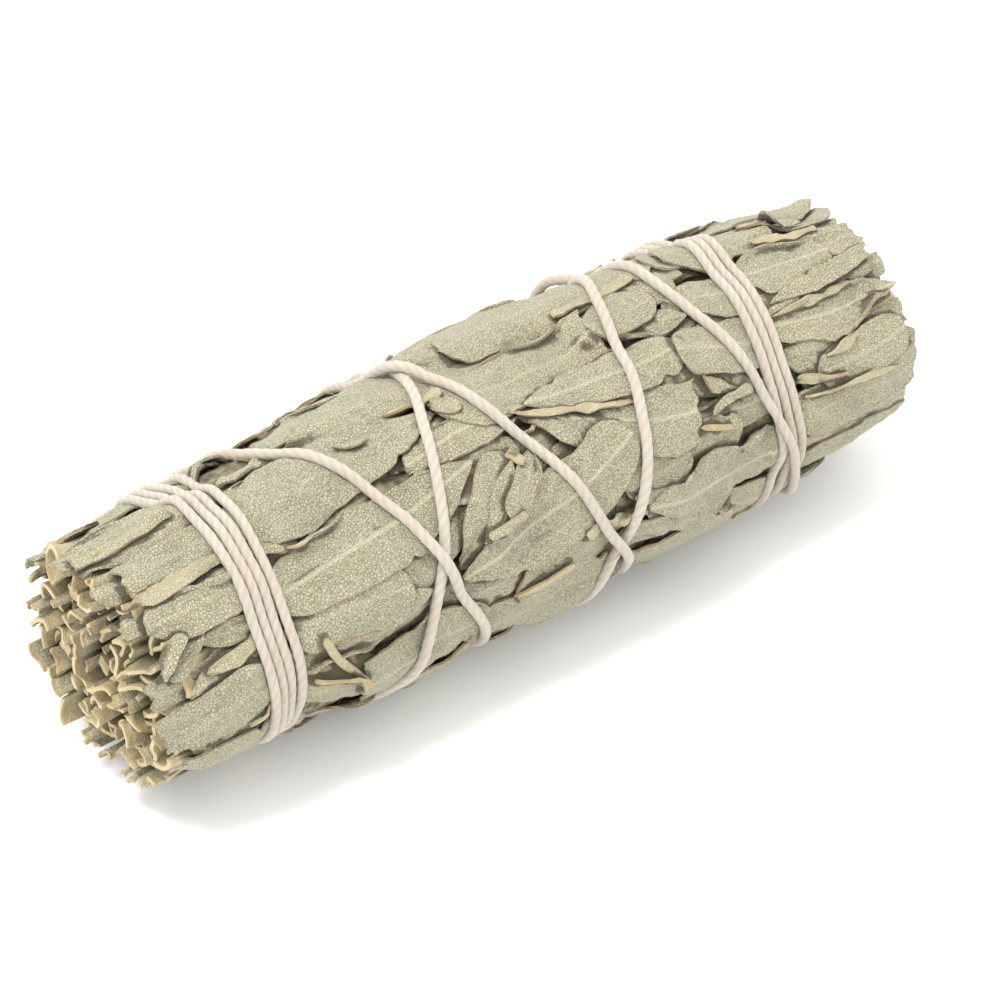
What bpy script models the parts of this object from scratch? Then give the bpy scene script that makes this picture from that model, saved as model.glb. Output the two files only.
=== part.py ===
"""A bunch of white sage, bound with one length of cotton twine and lying on its side.

Five leafy sprigs lie round a sixth. The leaves of a sprig grow from its square stem,
press together into a dense mass and lie over it like shingles. The twine holds them.
"""

import math

import bmesh
import bpy
import numpy as np

# Lengths are in millimetres here, and become metres as each mesh is made. X runs along the
# bunch, with the cut end that the viewer sees at -X. An angle round the bunch is in degrees,
# from its top towards its front (-Y). Radii are from the middle line of the bunch.
HALF_LENGTH = 50.8
END_RADIUS = 13.64
BULGE = 2.36
AXIS_HEIGHT = 15.75
UNDERSIDE = 14.1
PRESSED_FULLY = 20
PRESSED_TO = 45
BAND_PLACES = (-37.0, 31.8)
BAND_CINCH = 0.8
BAND_SPREAD = 3.4
GAP = 0.34
MM = 0.001

# The mass of leaves that each sprig's outer leaves lie on
SPRIG_COUNT = 5
FIRST_SEAM = -2.0
SEAM_TWIST = 0.06
CORE_DEPTH = 2.0
PRESSED_DEPTH = 1.0
CORE_END = 48.2
CORE_STATIONS = (-48.2, -41.5, -37.0, -32.0, -17.0, 0.0, 16.0, 27.0, 31.8, 37.0, 48.2)
CORE_CORNERS = 6
HEART_RADIUS = 4.55
INNER_RADIUS = 5.25

# The leaves
BLADE = 0.75
SINK = 0.32
STEEPEST = 0.42
LEAST_HOLD = 14
SEED = 41

# The folded leaves at a cut end of a sprig, as (share of its half width, radius) places
END_FOLDS = (
    ((-0.86, 7.3), (-0.9, 9.3), (-0.55, 10.5), (0.0, 10.9), (0.42, 10.3), (0.45, 9.4)),
    ((0.86, 6.4), (0.35, 6.1), (-0.25, 6.3), (-0.75, 5.9), (-0.62, 7.1)),
    ((0.9, 7.7), (0.8, 9.1), (0.88, 10.4), (0.66, 11.0)),
    ((-0.5, 7.7), (-0.6, 8.7), (-0.34, 9.55)),
    ((0.5, 7.4), (0.62, 8.3)),
)

# The stems
STEM_WIDTH = 2.2
STEM_HOLE = 2.85
STEM_START = -49.4
STEM_END = 45.6
STEM_RADIUS = 8.35

# The twine
TWINE_WIDTH = 1.45
TWINE_HEIGHT = 1.4
BAND_TWINE_WIDTH = 1.05
TWINE_SIDES = 6
TWINE_STEP = 5.2
TWINE_CLIMB = 0.45
CROSSING_GAP = 0.22
FLAT_BELOW = 0.45
RESTS_WITHIN = 14

# Each leaf that shows from the front, from the deepest to the topmost: where it starts and ends
# (along the bunch, round it), its width, how far it bows sideways, the form of its two ends
# (p pointed, r rounded, c cut straight), and how far its two ends lift.
FRONT_LEAVES = (
    (-50.5, -1, -40.5, 3, 2.0, 0.0, "cr", 0.2, 0.0),
    (-52.4, 14, -44.5, 15, 3.8, 0.0, "rc", 0.5, 0.0),
    (-51.6, 33, -38.5, 31, 3.6, 0.0, "cr", 0.3, 0.0),
    (-52.8, 68, -42.0, 62, 4.2, 0.6, "cp", 0.6, 0.0),
    (-48.6, 104, -38.0, 89, 4.6, 0.3, "cr", 0.2, 0.0),
    (-50.2, 113, -37.0, 106, 4.6, 0.0, "cr", 0.2, 0.0),
    (-35.0, 99, -25.5, 101, 4.4, 0.0, "rr", 0.0, 0.0),
    (-26.5, 66, -14.5, 56, 6.2, 0.4, "rp", 0.0, 0.2),
    (-37.0, 79, -18.5, 77, 3.2, 0.0, "rr", 0.0, 0.0),
    (-36.5, 10, -24.0, 8, 4.0, 0.0, "rr", 0.0, 0.0),
    (-24.0, 6, -14.0, 5, 3.4, 0.3, "rp", 0.0, 0.2),
    (-17.5, 84, 2.0, 81, 4.6, 0.3, "rr", 0.0, 0.0),
    (-8.5, 92, 6.5, 86, 4.2, 0.0, "rr", 0.0, 0.0),
    (-16.5, 40, -3.0, 38, 4.6, 0.0, "rr", 0.0, 0.0),
    (-3.0, 58, 12.0, 64, 5.0, 0.0, "rr", 0.0, 0.0),
    (12.0, 6, 26.0, 1, 4.6, 0.0, "rr", 0.0, 0.0),
    (16.0, 40, 29.0, 52, 5.0, 0.0, "rr", 0.0, 0.0),
    (36.5, 3, 50.0, 5, 4.4, 0.0, "rc", 0.0, 0.4),
    (32.5, 96, 50.0, 97, 3.8, 0.0, "rr", 0.0, 0.2),
    (32.5, 104, 50.0, 109, 4.6, 0.0, "rr", 0.0, 0.2),
    (43.0, 74, 51.5, 76, 4.6, 0.0, "rr", 0.2, 0.5),
    (35.5, 30, 49.0, 31, 4.8, 0.0, "rc", 0.0, 0.3),
    (-52.0, -19, -36.0, -14, 4.4, 0.3, "cr", 0.3, 0.0),
    (-48.5, 74, -38.0, 64, 3.0, 0.2, "pr", 0.4, 0.0),
    (-45.5, 55, -38.0, 56, 3.0, 0.0, "pr", 0.3, 0.0),
    (-50.0, 62, -44.5, 47, 2.4, 0.4, "rp", 0.6, 0.2),
    (-36.0, 62, -18.0, 64, 5.4, 0.2, "rr", 0.0, 0.3),
    (-28.3, 100, -14.5, 92, 6.0, 0.2, "cr", 0.4, 0.0),
    (-34.0, 2, -26.5, -3, 4.0, 0.3, "rr", 0.2, 0.5),
    (-24.0, -12, 4.0, -10, 7.6, 0.3, "pr", 0.0, 0.2),
    (-15.8, 27, 2.0, 25, 4.8, 0.0, "rp", 0.2, 0.0),
    (8.0, 77, 20.0, 100, 5.6, 0.4, "pr", 0.0, 0.3),
    (6.0, 96, 12.5, 95, 3.8, 0.0, "rr", 0.2, 0.3),
    (10.0, 73, 30.0, 84, 6.4, 0.5, "pr", 0.0, 0.2),
    (-1.0, 28, 18.5, 56, 7.0, 1.2, "pc", 0.0, 0.4),
    (-2.0, -15, 26.0, -14, 7.6, 0.2, "rr", 0.0, 0.2),
    (25.0, -12, 35.0, -10, 5.0, 0.0, "rr", 0.2, 0.0),
    (23.0, 12, 39.5, 22, 6.8, 0.4, "pr", 0.0, 0.0),
    (31.0, 80, 50.3, 84, 5.2, 0.4, "rc", 0.0, 0.6),
    (33.0, 52, 41.0, 60, 4.8, 0.3, "rc", 0.0, 0.5),
    (-51.5, -11, -36.0, -2, 4.8, 0.5, "cr", 0.3, 0.0),
    (-50.0, 40, -36.0, 40, 4.8, 0.2, "rr", 0.6, 0.0),
    (-38.0, 19, -12.0, 20, 7.0, 0.2, "rr", 0.0, 0.4),
    (-37.0, 51, -15.0, 41, 5.6, 0.6, "rp", 0.0, 0.2),
    (-9.0, 14, 13.5, 12, 6.4, 0.2, "rc", 0.0, 0.4),
    (0.0, 27, 20.0, 31, 5.4, 0.6, "pr", 0.0, 0.5),
    (12.5, 8, 22.0, 8, 5.0, 0.0, "rr", 0.2, 0.2),
    (19.0, 34, 34.0, 44, 6.0, 0.3, "rr", 0.4, 0.0),
    (34.0, -8, 42.5, 0, 4.4, 0.2, "rr", 0.2, 0.3),
    (34.0, -11, 52.3, -10, 5.0, 0.3, "rr", 0.0, 0.7),
    (36.0, 68, 49.5, 66, 4.8, 0.2, "rr", 0.2, 0.3),
    (33.0, 43, 50.0, 46, 5.2, 0.2, "rc", 0.0, 0.5),
    (39.5, 14, 50.0, 16, 4.8, 0.0, "rc", 0.3, 0.6),
    (-49.3, 16, -34.0, 17, 5.4, 0.0, "cr", 0.6, 0.0),
    (-51.6, 90, -39.0, 76, 5.6, 0.2, "cr", 0.4, 0.0),
    (-14.6, 73, -5.8, 38, 4.8, 0.3, "pr", 0.0, 0.3),
    (-14.8, 77, 9.3, 52, 7.4, 0.8, "pr", 0.0, 0.5),
    (33.0, 12, 44.0, 22, 6.0, 0.3, "rc", 0.2, 0.3),
)

# The twine's one route, as (angle counted on from turn to turn, place along the bunch). It starts
# under the right band, makes that band, crosses to the left band, comes back, passes over the
# right band and ends under it.
TWINE_ROUTE = (
    (-139, 27.2), (-140, 29.3), (-140, 31.6), (-140, 34.0), (-138, 35.9), (-133.5, 36.6),
    (-128, 36.3), (-119, 35.6), (-95, 35.1), (-60, 34.8), (-20, 34.6), (0, 33.9), (20, 33.1),
    (40, 32.3), (60, 31.95), (80, 32.15), (100, 32.6), (180, 33.2), (260, 33.4), (340, 33.25),
    (360, 32.5), (380, 31.7), (400, 30.9), (420, 30.55), (440, 30.75), (460, 31.2), (540, 31.8),
    (620, 32.0), (700, 31.9), (720, 31.1), (740, 30.3), (760, 29.55), (780, 29.2), (800, 29.3),
    (820, 29.1), (860, 28.0), (920, 25.0), (980, 22.0), (1060, 18.3), (1080, 16.0), (1100, 14.0),
    (1120, 12.5), (1140, 10.4), (1160, 8.2), (1190, 4.2), (1240, 0.5), (1300, -2.5),
    (1360, -5.0), (1420, -7.5), (1440, -9.2), (1460, -12.0), (1480, -14.3), (1500, -16.3),
    (1520, -18.7), (1540, -20.8), (1560, -24.0), (1600, -27.4), (1640, -29.6), (1690, -31.4),
    (1740, -32.6), (1780, -33.3), (1810, -34.3), (1840, -35.3), (1860, -35.5), (1890, -35.5),
    (1940, -35.6), (2000, -35.4), (2070, -35.1), (2140, -34.9), (2170, -35.8), (2200, -36.65),
    (2220, -36.85), (2250, -36.85), (2310, -36.95), (2430, -36.7), (2500, -36.4),
    (2530, -37.15), (2560, -38.0), (2580, -38.2), (2610, -38.2), (2670, -38.3), (2790, -38.05),
    (2860, -38.0), (2880, -38.5), (2920, -39.35), (2940, -39.55), (2970, -39.5), (3010, -39.55),
    (3060, -39.65), (3088, -39.4), (3110, -38.0), (3130, -35.6), (3150, -32.6), (3180, -29.3),
    (3200, -27.4), (3220, -26.0), (3240, -24.0), (3260, -21.3), (3280, -19.6), (3300, -17.7),
    (3320, -15.7), (3350, -11.6), (3400, -10.3), (3460, -9.7), (3520, -9.2), (3580, -8.5),
    (3600, -6.3), (3620, -4.5), (3640, -1.8), (3660, 0.8), (3680, 3.2), (3710, 8.0),
    (3760, 12.5), (3820, 16.0), (3880, 19.2), (3940, 22.6), (3960, 23.3), (3980, 24.6),
    (4000, 26.0), (4020, 27.6), (4040, 29.0), (4060, 31.0), (4080, 33.0), (4100, 34.6),
    (4140, 34.8), (4170, 35.2), (4200, 36.6), (4211, 37.7), (4219, 37.5), (4223, 36.4),
    (4224, 34.0), (4224.5, 31.6), (4225, 29.3), (4225.5, 27.2),
)
TUCKED_END = 4220

# A map of how far out the laid leaves reach, with whose leaf is outermost. Its rows go along the
# bunch and its columns go round it.
MAP_STEP = 0.4
MAP_START = -56.0
MAP_ROWS = 281
MAP_COLUMNS = 240
MAP_DEGREES = 360.0 / MAP_COLUMNS


def pressed_share(angle):
    """1 where the bunch is pressed flat on its underside, falling to 0 up its sides."""
    from_below = np.abs((np.asarray(angle, float) % 360) - 180)
    return np.clip((PRESSED_TO - from_below) / (PRESSED_TO - PRESSED_FULLY), 0, 1)


def bundle_radius(s, angle):
    """How far out the bunch reaches: fullest in the middle, drawn in by the bands, flat below."""
    radius = END_RADIUS + BULGE * (1 - (s / HALF_LENGTH) ** 2)
    for place in BAND_PLACES:
        cinch = BAND_CINCH * np.exp(-(((s - place) / BAND_SPREAD) ** 2))
        radius = radius - cinch * (1 - pressed_share(angle))
    from_below = np.abs((np.asarray(angle, float) % 360) - 180)
    flat = UNDERSIDE / np.maximum(np.cos(np.radians(from_below)), 0.5)
    return np.minimum(radius, flat)


def core_radius(s, angle):
    return bundle_radius(s, angle) - CORE_DEPTH + PRESSED_DEPTH * pressed_share(angle)


def point(s, angle, radius):
    a = math.radians(angle)
    return (s, -radius * math.sin(a), radius * math.cos(a))


def new_object(name, points, faces, material=None):
    """A closed solid from points in millimetres, measured from the bunch's middle line."""
    mesh = bpy.data.meshes.new(name)
    lifted = [(x * MM, y * MM, (z + AXIS_HEIGHT) * MM) for x, y, z in points]
    mesh.from_pydata(lifted, [], faces)
    form = bmesh.new()
    form.from_mesh(mesh)
    bmesh.ops.recalc_face_normals(form, faces=form.faces)
    form.to_mesh(mesh)
    form.free()
    obj = bpy.data.objects.new(name, mesh)
    bpy.context.scene.collection.objects.link(obj)
    if material:
        mesh.materials.append(material)
    return obj


def new_material(name, colour, roughness):
    material = bpy.data.materials.new(name)
    material.use_nodes = True
    shader = material.node_tree.nodes["Principled BSDF"]
    shader.inputs["Base Color"].default_value = (*colour, 1.0)
    shader.inputs["Roughness"].default_value = roughness
    return material


def loft(rings):
    """Faces that join equal rings of points, with both ends closed."""
    count = len(rings[0])
    points = [p for ring in rings for p in ring]
    faces = [tuple(reversed(range(count)))]
    for k in range(len(rings) - 1):
        for i in range(count):
            a = k * count + i
            b = k * count + (i + 1) % count
            faces.append((a, b, b + count))
            faces.append((a, b + count, a + count))
    last = (len(rings) - 1) * count
    faces.append(tuple(range(last, last + count)))
    return points, faces


# The map of the laid leaves
map_radius = np.zeros((MAP_ROWS, MAP_COLUMNS))
map_owner = np.full((MAP_ROWS, MAP_COLUMNS), -1)
map_s = MAP_START + MAP_STEP * np.arange(MAP_ROWS)
map_angle = MAP_DEGREES * np.arange(MAP_COLUMNS)


def cells_under(corners):
    """The map cells that a triangle of (s, angle) corners covers, with its corners' weights."""
    (s0, a0), (s1, a1), (s2, a2) = corners
    rows = np.arange(
        math.ceil((min(s0, s1, s2) - MAP_START) / MAP_STEP),
        math.floor((max(s0, s1, s2) - MAP_START) / MAP_STEP) + 1,
    )
    columns = np.arange(
        math.ceil(min(a0, a1, a2) / MAP_DEGREES), math.floor(max(a0, a1, a2) / MAP_DEGREES) + 1
    )
    area = (s1 - s0) * (a2 - a0) - (s2 - s0) * (a1 - a0)
    if not len(rows) or not len(columns) or abs(area) < 1e-9:
        return None
    s, a = np.meshgrid(MAP_START + MAP_STEP * rows, MAP_DEGREES * columns, indexing="ij")
    w1 = ((s - s0) * (a2 - a0) - (s2 - s0) * (a - a0)) / area
    w2 = ((s1 - s0) * (a - a0) - (s - s0) * (a1 - a0)) / area
    w0 = 1 - w1 - w2
    inside = (w0 > -1e-6) & (w1 > -1e-6) & (w2 > -1e-6)
    if not inside.any():
        return None
    row, column = np.meshgrid(rows, columns, indexing="ij")
    weights = np.stack([w0[inside], w1[inside], w2[inside]], axis=1)
    a = np.radians(a[inside])
    aims = np.stack([np.zeros_like(a), -np.sin(a), np.cos(a)], axis=1)
    return row[inside], column[inside] % MAP_COLUMNS, s[inside], aims, weights


def reach(cells, corners):
    """How far out the flat triangle through three corners lies at each of its cells."""
    p0, p1, p2 = (np.array(corner) for corner in corners)
    normal = np.cross(p1 - p0, p2 - p0)
    origins = np.zeros((len(cells[2]), 3))
    origins[:, 0] = cells[2]
    return ((p0 - origins) @ normal) / (cells[3] @ normal)


def lay_on_map(corners, owner):
    """Adds one flat triangle of (s, angle, radius) corners to the map."""
    cells = cells_under([(s, a) for s, a, _ in corners])
    if cells is None:
        return
    radii = reach(cells, [point(*corner) for corner in corners])
    rows, columns = cells[0], cells[1]
    higher = radii > map_radius[rows, columns]
    map_radius[rows[higher], columns[higher]] = radii[higher]
    map_owner[rows[higher], columns[higher]] = owner


def widened(values):
    """The greatest value in each cell and the eight round it."""
    out = values
    for shift in (-1, 1):
        out = np.maximum(out, np.roll(values, shift, axis=1))
    base = out.copy()
    out[1:] = np.maximum(out[1:], base[:-1])
    out[:-1] = np.maximum(out[:-1], base[1:])
    return out


def seam_angle(index, s):
    return FIRST_SEAM + index * 360.0 / SPRIG_COUNT + SEAM_TWIST * s


# The solid cores
def sprig_core(index):
    rings = []
    for s in CORE_STATIONS:
        start = seam_angle(index, s)
        end = seam_angle(index + 1, s)
        ring = []
        for k in range(CORE_CORNERS + 1):
            angle = start + (end - start) * k / CORE_CORNERS
            radius = float(core_radius(s, angle))
            inset = math.degrees(GAP / 2 / radius)
            angle = min(max(angle, start + inset), end - inset)
            ring.append((s, angle, radius))
        inset = math.degrees(GAP / 2 / INNER_RADIUS)
        for angle in (end - inset, (start + end) / 2, start + inset):
            ring.append((s, angle, INNER_RADIUS))
        rings.append(ring)
    for first, second in zip(rings, rings[1:]):
        for k in range(CORE_CORNERS):
            lay_on_map((first[k], first[k + 1], second[k + 1]), index)
            lay_on_map((first[k], second[k + 1], second[k]), index)
    points, faces = loft([[point(*corner) for corner in ring] for ring in rings])
    return new_object(f"sprig_{index + 1}_leaves", points, faces, leaf_material)


def heart_core():
    rings = []
    for s in (-CORE_END, CORE_END):
        rings.append([point(s, 36.0 * k, HEART_RADIUS) for k in range(10)])
    points, faces = loft(rings)
    return new_object("heart_sprig_leaves", points, faces, leaf_material)


# One leaf: a thin blade that lies on what is under it
WIDTHS = {"p": 0.2, "r": 0.58, "c": 0.95}


def leaf_outline(leaf, rng):
    """Rows of (s, angle) across the leaf, from its start to its end, with how far each lifts."""
    s0, a0, s1, a1, width, bow, ends, lift0, lift1 = leaf
    scale = math.radians(1) * 15.5
    start = np.array([s0, a0 * scale])
    along = np.array([s1, a1 * scale]) - start
    length = float(np.linalg.norm(along))
    across = np.array([-along[1], along[0]]) / length
    inner = 3 if length > 22 else (2 if length > 9 else 1)
    spots = [0.0] + [(k + 0.62) / (inner + 0.24) for k in range(inner)] + [1.0]
    rows = []
    for spot in spots:
        full = 1.0 - 0.5 * abs(2 * spot - 0.95) ** 2.2
        if spot == 0:
            full = WIDTHS[ends[0]]
        elif spot == 1:
            full = WIDTHS[ends[1]]
        centre = start + along * spot + across * bow * 4 * spot * (1 - spot)
        lift = lift0 * max(0, 1 - spot / 0.3) + lift1 * max(0, 1 - (1 - spot) / 0.3)
        sides = (-0.5, 0.0, 0.5) if width > 2.5 else (-0.5, 0.5)
        row = []
        for side in sides:
            reach_out = width * full * side * (1 + rng.uniform(-0.1, 0.1))
            slant = along / length * rng.uniform(-0.5, 0.5) * (0.6 if side else -0.3)
            spot_at = centre + across * reach_out + slant
            edge = 0.18 * rng.random() if side else 0.0
            row.append((spot_at[0], spot_at[1] / scale, lift + edge))
        rows.append(row)
    return rows


def blade_faces(row_count, wide):
    """Triangles of one face of the blade, on rows of as many points."""
    faces = []
    for k in range(row_count - 1):
        for i in range(wide - 1):
            a = k * wide + i
            if (k + i) % 2:
                faces += [(a, a + 1, a + wide + 1), (a, a + wide + 1, a + wide)]
            else:
                faces += [(a, a + 1, a + wide), (a + 1, a + wide + 1, a + wide)]
    return faces


def settled(spots, faces, covered, floor):
    """Lowers a blade from above until it rests on the floor, and returns its points' radii."""
    held = []
    least = np.zeros(len(spots))
    for i, (s, angle, _) in enumerate(spots):
        row = int(round((s - MAP_START) / MAP_STEP))
        column = int(round(angle / MAP_DEGREES)) % MAP_COLUMNS
        least[i] = floor[row, column]
    top = least.max()
    for face, cells in zip(faces, covered):
        if cells is not None:
            top = max(top, float(floor[cells[0], cells[1]].max()))
    radii = np.full(len(spots), top + 0.5)
    for face, cells in zip(faces, covered):
        if cells is None:
            continue
        corners = [point(spots[i][0], spots[i][1], radii[i]) for i in face]
        bulge = reach(cells, corners) - radii[0]
        needed = floor[cells[0], cells[1]] - bulge
        for k, i in enumerate(face):
            share = cells[4][:, k]
            near = share > 0.02
            if near.any():
                others = [(face[n], cells[4][near, n]) for n in range(3) if n != k]
                held.append((i, others, share[near], needed[near]))
    spans = {}
    for face in faces:
        for a, b in ((face[0], face[1]), (face[1], face[2]), (face[0], face[2])):
            across = math.radians(spots[a][1] - spots[b][1]) * 15
            span = math.hypot(spots[a][0] - spots[b][0], across) * STEEPEST
            spans.setdefault(a, {})[b] = span
            spans.setdefault(b, {})[a] = span
    for _ in range(80):
        before = radii.copy()
        lowest = np.maximum(least, radii - 0.2)
        for i, others, share, needed in held:
            rest = sum(radii[n] * weight for n, weight in others)
            lowest[i] = max(lowest[i], float(((needed - rest) / share).max()))
        for i, near in spans.items():
            for n, span in near.items():
                lowest[i] = max(lowest[i], radii[n] - span)
            radii[i] = min(radii[i], lowest[i])
        if np.abs(before - radii).max() < 1e-3:
            break
    short = 0.0
    for face, cells in zip(faces, covered):
        if cells is not None:
            corners = [point(spots[i][0], spots[i][1], radii[i]) for i in face]
            short = max(short, float((floor[cells[0], cells[1]] - reach(cells, corners)).max()))
    return radii + short


def lay_leaf(leaf, rng, limit=None):
    """Lays a leaf on the map. Returns its sprig and its solids, or None where it can't lie."""
    rows = leaf_outline(leaf, rng)
    wide = len(rows[0])
    spots = [spot for row in rows for spot in row]
    faces = blade_faces(len(rows), wide)
    covered = [cells_under([spots[i][:2] for i in face]) for face in faces]
    votes = np.zeros(SPRIG_COUNT)
    for cells in covered:
        if cells is None:
            continue
        owners = map_owner[cells[0], cells[1]]
        solid = np.abs(cells[2]) < CORE_END - 1
        for index in range(SPRIG_COUNT):
            votes[index] += ((owners == index) & solid).sum()
    best = None
    for candidate in votes.argsort()[::-1][:2]:
        if votes[candidate] < LEAST_HOLD:
            continue
        others = np.where(map_owner != candidate, map_radius, 0.0)
        pressed = np.minimum(map_radius - SINK, full_radius - BLADE)
        own = np.where(map_owner == candidate, pressed, 0.0)
        radii = settled(spots, faces, covered, np.maximum(own, widened(others) + GAP))
        if best is None or radii.mean() < best[1].mean() - 0.15:
            best = (int(candidate), radii)
    if best is None:
        return None
    owner, radii = best
    radii = radii + np.array([spot[2] for spot in spots])
    tops = radii + BLADE
    room = [float(bundle_radius(s, a)) for s, a, _ in spots]
    if limit is not None and (tops - np.array(room)).max() > limit:
        return None
    low = [point(s, a, r) for (s, a, _), r in zip(spots, radii)]
    high = [point(s, a, r) for (s, a, _), r in zip(spots, tops)]
    count = len(spots)
    ring = [i for i in range(wide)]
    ring += [k * wide + wide - 1 for k in range(1, len(rows))]
    ring += [(len(rows) - 1) * wide + i for i in reversed(range(wide - 1))]
    ring += [k * wide for k in reversed(range(1, len(rows) - 1))]
    shell = [tuple(reversed(face)) for face in faces]
    shell += [tuple(i + count for i in face) for face in faces]
    for a, b in zip(ring, ring[1:] + ring[:1]):
        shell += [(a, b, b + count), (a, b + count, a + count)]
    solids = [(low + high, shell)]
    root = root_of(owner, faces, covered, spots, radii)
    if root == "none":
        return None
    if root:
        solids.append(root)
    for face in faces:
        lay_on_map([(spots[i][0], spots[i][1], tops[i]) for i in face], owner)
    return owner, solids


def root_of(owner, faces, covered, spots, radii):
    """A short stalk that fixes a leaf to its own sprig, where its blade stays clear of it."""
    mine = map_owner == owner
    clear = mine.copy()
    for rows in (-2, -1, 0, 1, 2):
        for columns in (-2, -1, 0, 1, 2):
            clear &= np.roll(np.roll(mine, rows, axis=0), columns, axis=1)
    sunk = 0
    best = None
    for face, cells in zip(faces, covered):
        if cells is None:
            continue
        corners = [point(spots[i][0], spots[i][1], radii[i]) for i in face]
        under = reach(cells, corners)
        for k in range(len(under)):
            row, column = cells[0][k], cells[1][k]
            if abs(cells[2][k]) > CORE_END - 1.2 or not mine[row, column]:
                continue
            above = under[k] - map_radius[row, column]
            if above < -0.12:
                sunk += 1
            if clear[row, column] and cells[4][k].min() > 0.12:
                if best is None or above < best[0]:
                    best = (above, row, column, under[k])
    if sunk >= 6:
        return None
    if best is None:
        return "none"
    _, row, column, under = best
    s = MAP_START + MAP_STEP * row
    angle = MAP_DEGREES * column
    half = 0.6
    turn = math.degrees(half / 14.0)
    rings = []
    for radius in (map_radius[row, column] - 0.8, under + 0.4):
        rings.append(
            [
                point(s - half, angle - turn, radius),
                point(s + half, angle - turn, radius),
                point(s + half, angle + turn, radius),
                point(s - half, angle + turn, radius),
            ]
        )
    return loft(rings)


# The folded leaf ends that show at the two cut faces
def folded_end(path, side, start, stop):
    """A strip of leaf that stands on edge along a path of (y, z) places, from start to stop."""
    path = np.array(path)
    steps = np.diff(path, axis=0)
    steps /= np.linalg.norm(steps, axis=1)[:, None]
    normals = np.stack([-steps[:, 1], steps[:, 0]], axis=1)
    outer = []
    inner = []
    for k, place in enumerate(path):
        before = normals[max(k - 1, 0)]
        after = normals[min(k, len(normals) - 1)]
        middle = before + after
        middle /= max(middle @ before, 0.8)
        outer.append(place + middle * BLADE / 2)
        inner.append(place - middle * BLADE / 2)
    low, high = sorted((side * start, side * stop))
    count = len(path)
    points = [(low, *p) for p in outer + inner] + [(high, *p) for p in outer + inner]
    faces = []
    for base in (0, 2 * count):
        for k in range(count - 1):
            quad = (base + k, base + k + 1, base + count + k + 1, base + count + k)
            faces += [(quad[0], quad[1], quad[2]), (quad[0], quad[2], quad[3])]
    ring = list(range(count)) + [count + k for k in reversed(range(count))]
    for a, b in zip(ring, ring[1:] + ring[:1]):
        faces += [(a, b, b + 2 * count), (a, b + 2 * count, a + 2 * count)]
    return points, faces


def end_strips(index, rng):
    """The folded leaf ends of an outer sprig, at both ends of the bunch."""
    strips = []
    for side in (-1, 1):
        s = side * CORE_END
        start = seam_angle(index, s)
        end = seam_angle(index + 1, s)
        middle = (start + end) / 2
        half = (end - start) / 2
        for folds in END_FOLDS:
            path = []
            for part, radius in folds:
                part = part * -side
                radius += rng.uniform(-0.1, 0.1)
                edge = math.degrees((GAP / 2 + BLADE / 2 + 0.08) / radius)
                room = half - edge
                angle = middle + max(-room, min(room, part * half))
                _, y, z = point(0, angle, radius)
                path.append((y, z))
            stand = rng.uniform(1.0, 3.4)
            strips.append(folded_end(path, side, CORE_END - 0.9, CORE_END + stand))
    return strips


def heart_strips(rng):
    strips = []
    for side in (-1, 1):
        turn = rng.uniform(0, 360)
        path = []
        for k in range(6):
            _, y, z = point(0, turn + 54 * k, 2.9 + 0.12 * k)
            path.append((y, z))
        strips.append(folded_end(path, side, CORE_END - 0.9, CORE_END + 2.2))
    return strips


def join(base, solids):
    """Fuses the solids into the base object, fills what they seal, and drops loose scraps."""
    pieces = bpy.data.collections.new(base.name + "_pieces")
    bpy.context.scene.collection.children.link(pieces)
    for k, (points, faces) in enumerate(solids):
        piece = new_object(f"{base.name}_piece_{k}", points, faces)
        bpy.context.scene.collection.objects.unlink(piece)
        pieces.objects.link(piece)
    union = base.modifiers.new("union", "BOOLEAN")
    union.operation = "UNION"
    union.operand_type = "COLLECTION"
    union.collection = pieces
    union.solver = "MANIFOLD"
    apply_all(base)
    for piece in list(pieces.objects):
        bpy.data.objects.remove(piece)
    bpy.data.collections.remove(pieces)


def apply_all(obj):
    bpy.context.view_layer.update()
    graph = bpy.context.evaluated_depsgraph_get()
    mesh = bpy.data.meshes.new_from_object(obj.evaluated_get(graph))
    obj.modifiers.clear()
    obj.data = mesh


def keep_one_body(obj):
    """Keeps the largest closed shell of the mesh, so that no sealed hollow or scrap is left."""
    form = bmesh.new()
    form.from_mesh(obj.data)
    bmesh.ops.triangulate(form, faces=form.faces)
    seen = set()
    shells = []
    for first in form.faces:
        if first in seen:
            continue
        shell = []
        stack = [first]
        seen.add(first)
        while stack:
            face = stack.pop()
            shell.append(face)
            for edge in face.edges:
                for near in edge.link_faces:
                    if near not in seen:
                        seen.add(near)
                        stack.append(near)
        volume = 0.0
        for face in shell:
            a, b, c = (v.co for v in face.verts)
            volume += a.dot(b.cross(c)) / 6
        shells.append((volume, shell))
    shells.sort(key=lambda item: item[0])
    for _, shell in shells[:-1]:
        bmesh.ops.delete(form, geom=shell, context="FACES")
    loose = [v for v in form.verts if not v.link_faces]
    bmesh.ops.delete(form, geom=loose, context="VERTS")
    form.to_mesh(obj.data)
    form.free()


def cut_hole(obj, middle, width):
    """A square hole along the whole bunch, for a stem."""
    y, z = middle
    h = width / 2
    square = ((y - h, z - h), (y + h, z - h), (y + h, z + h), (y - h, z + h))
    points, faces = loft([[(s, *corner) for corner in square] for s in (-60.0, 60.0)])
    cutter = new_object(obj.name + "_cutter", points, faces)
    cut = obj.modifiers.new("stem_hole", "BOOLEAN")
    cut.operation = "DIFFERENCE"
    cut.object = cutter
    cut.solver = "EXACT"
    apply_all(obj)
    bpy.data.objects.remove(cutter)


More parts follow.
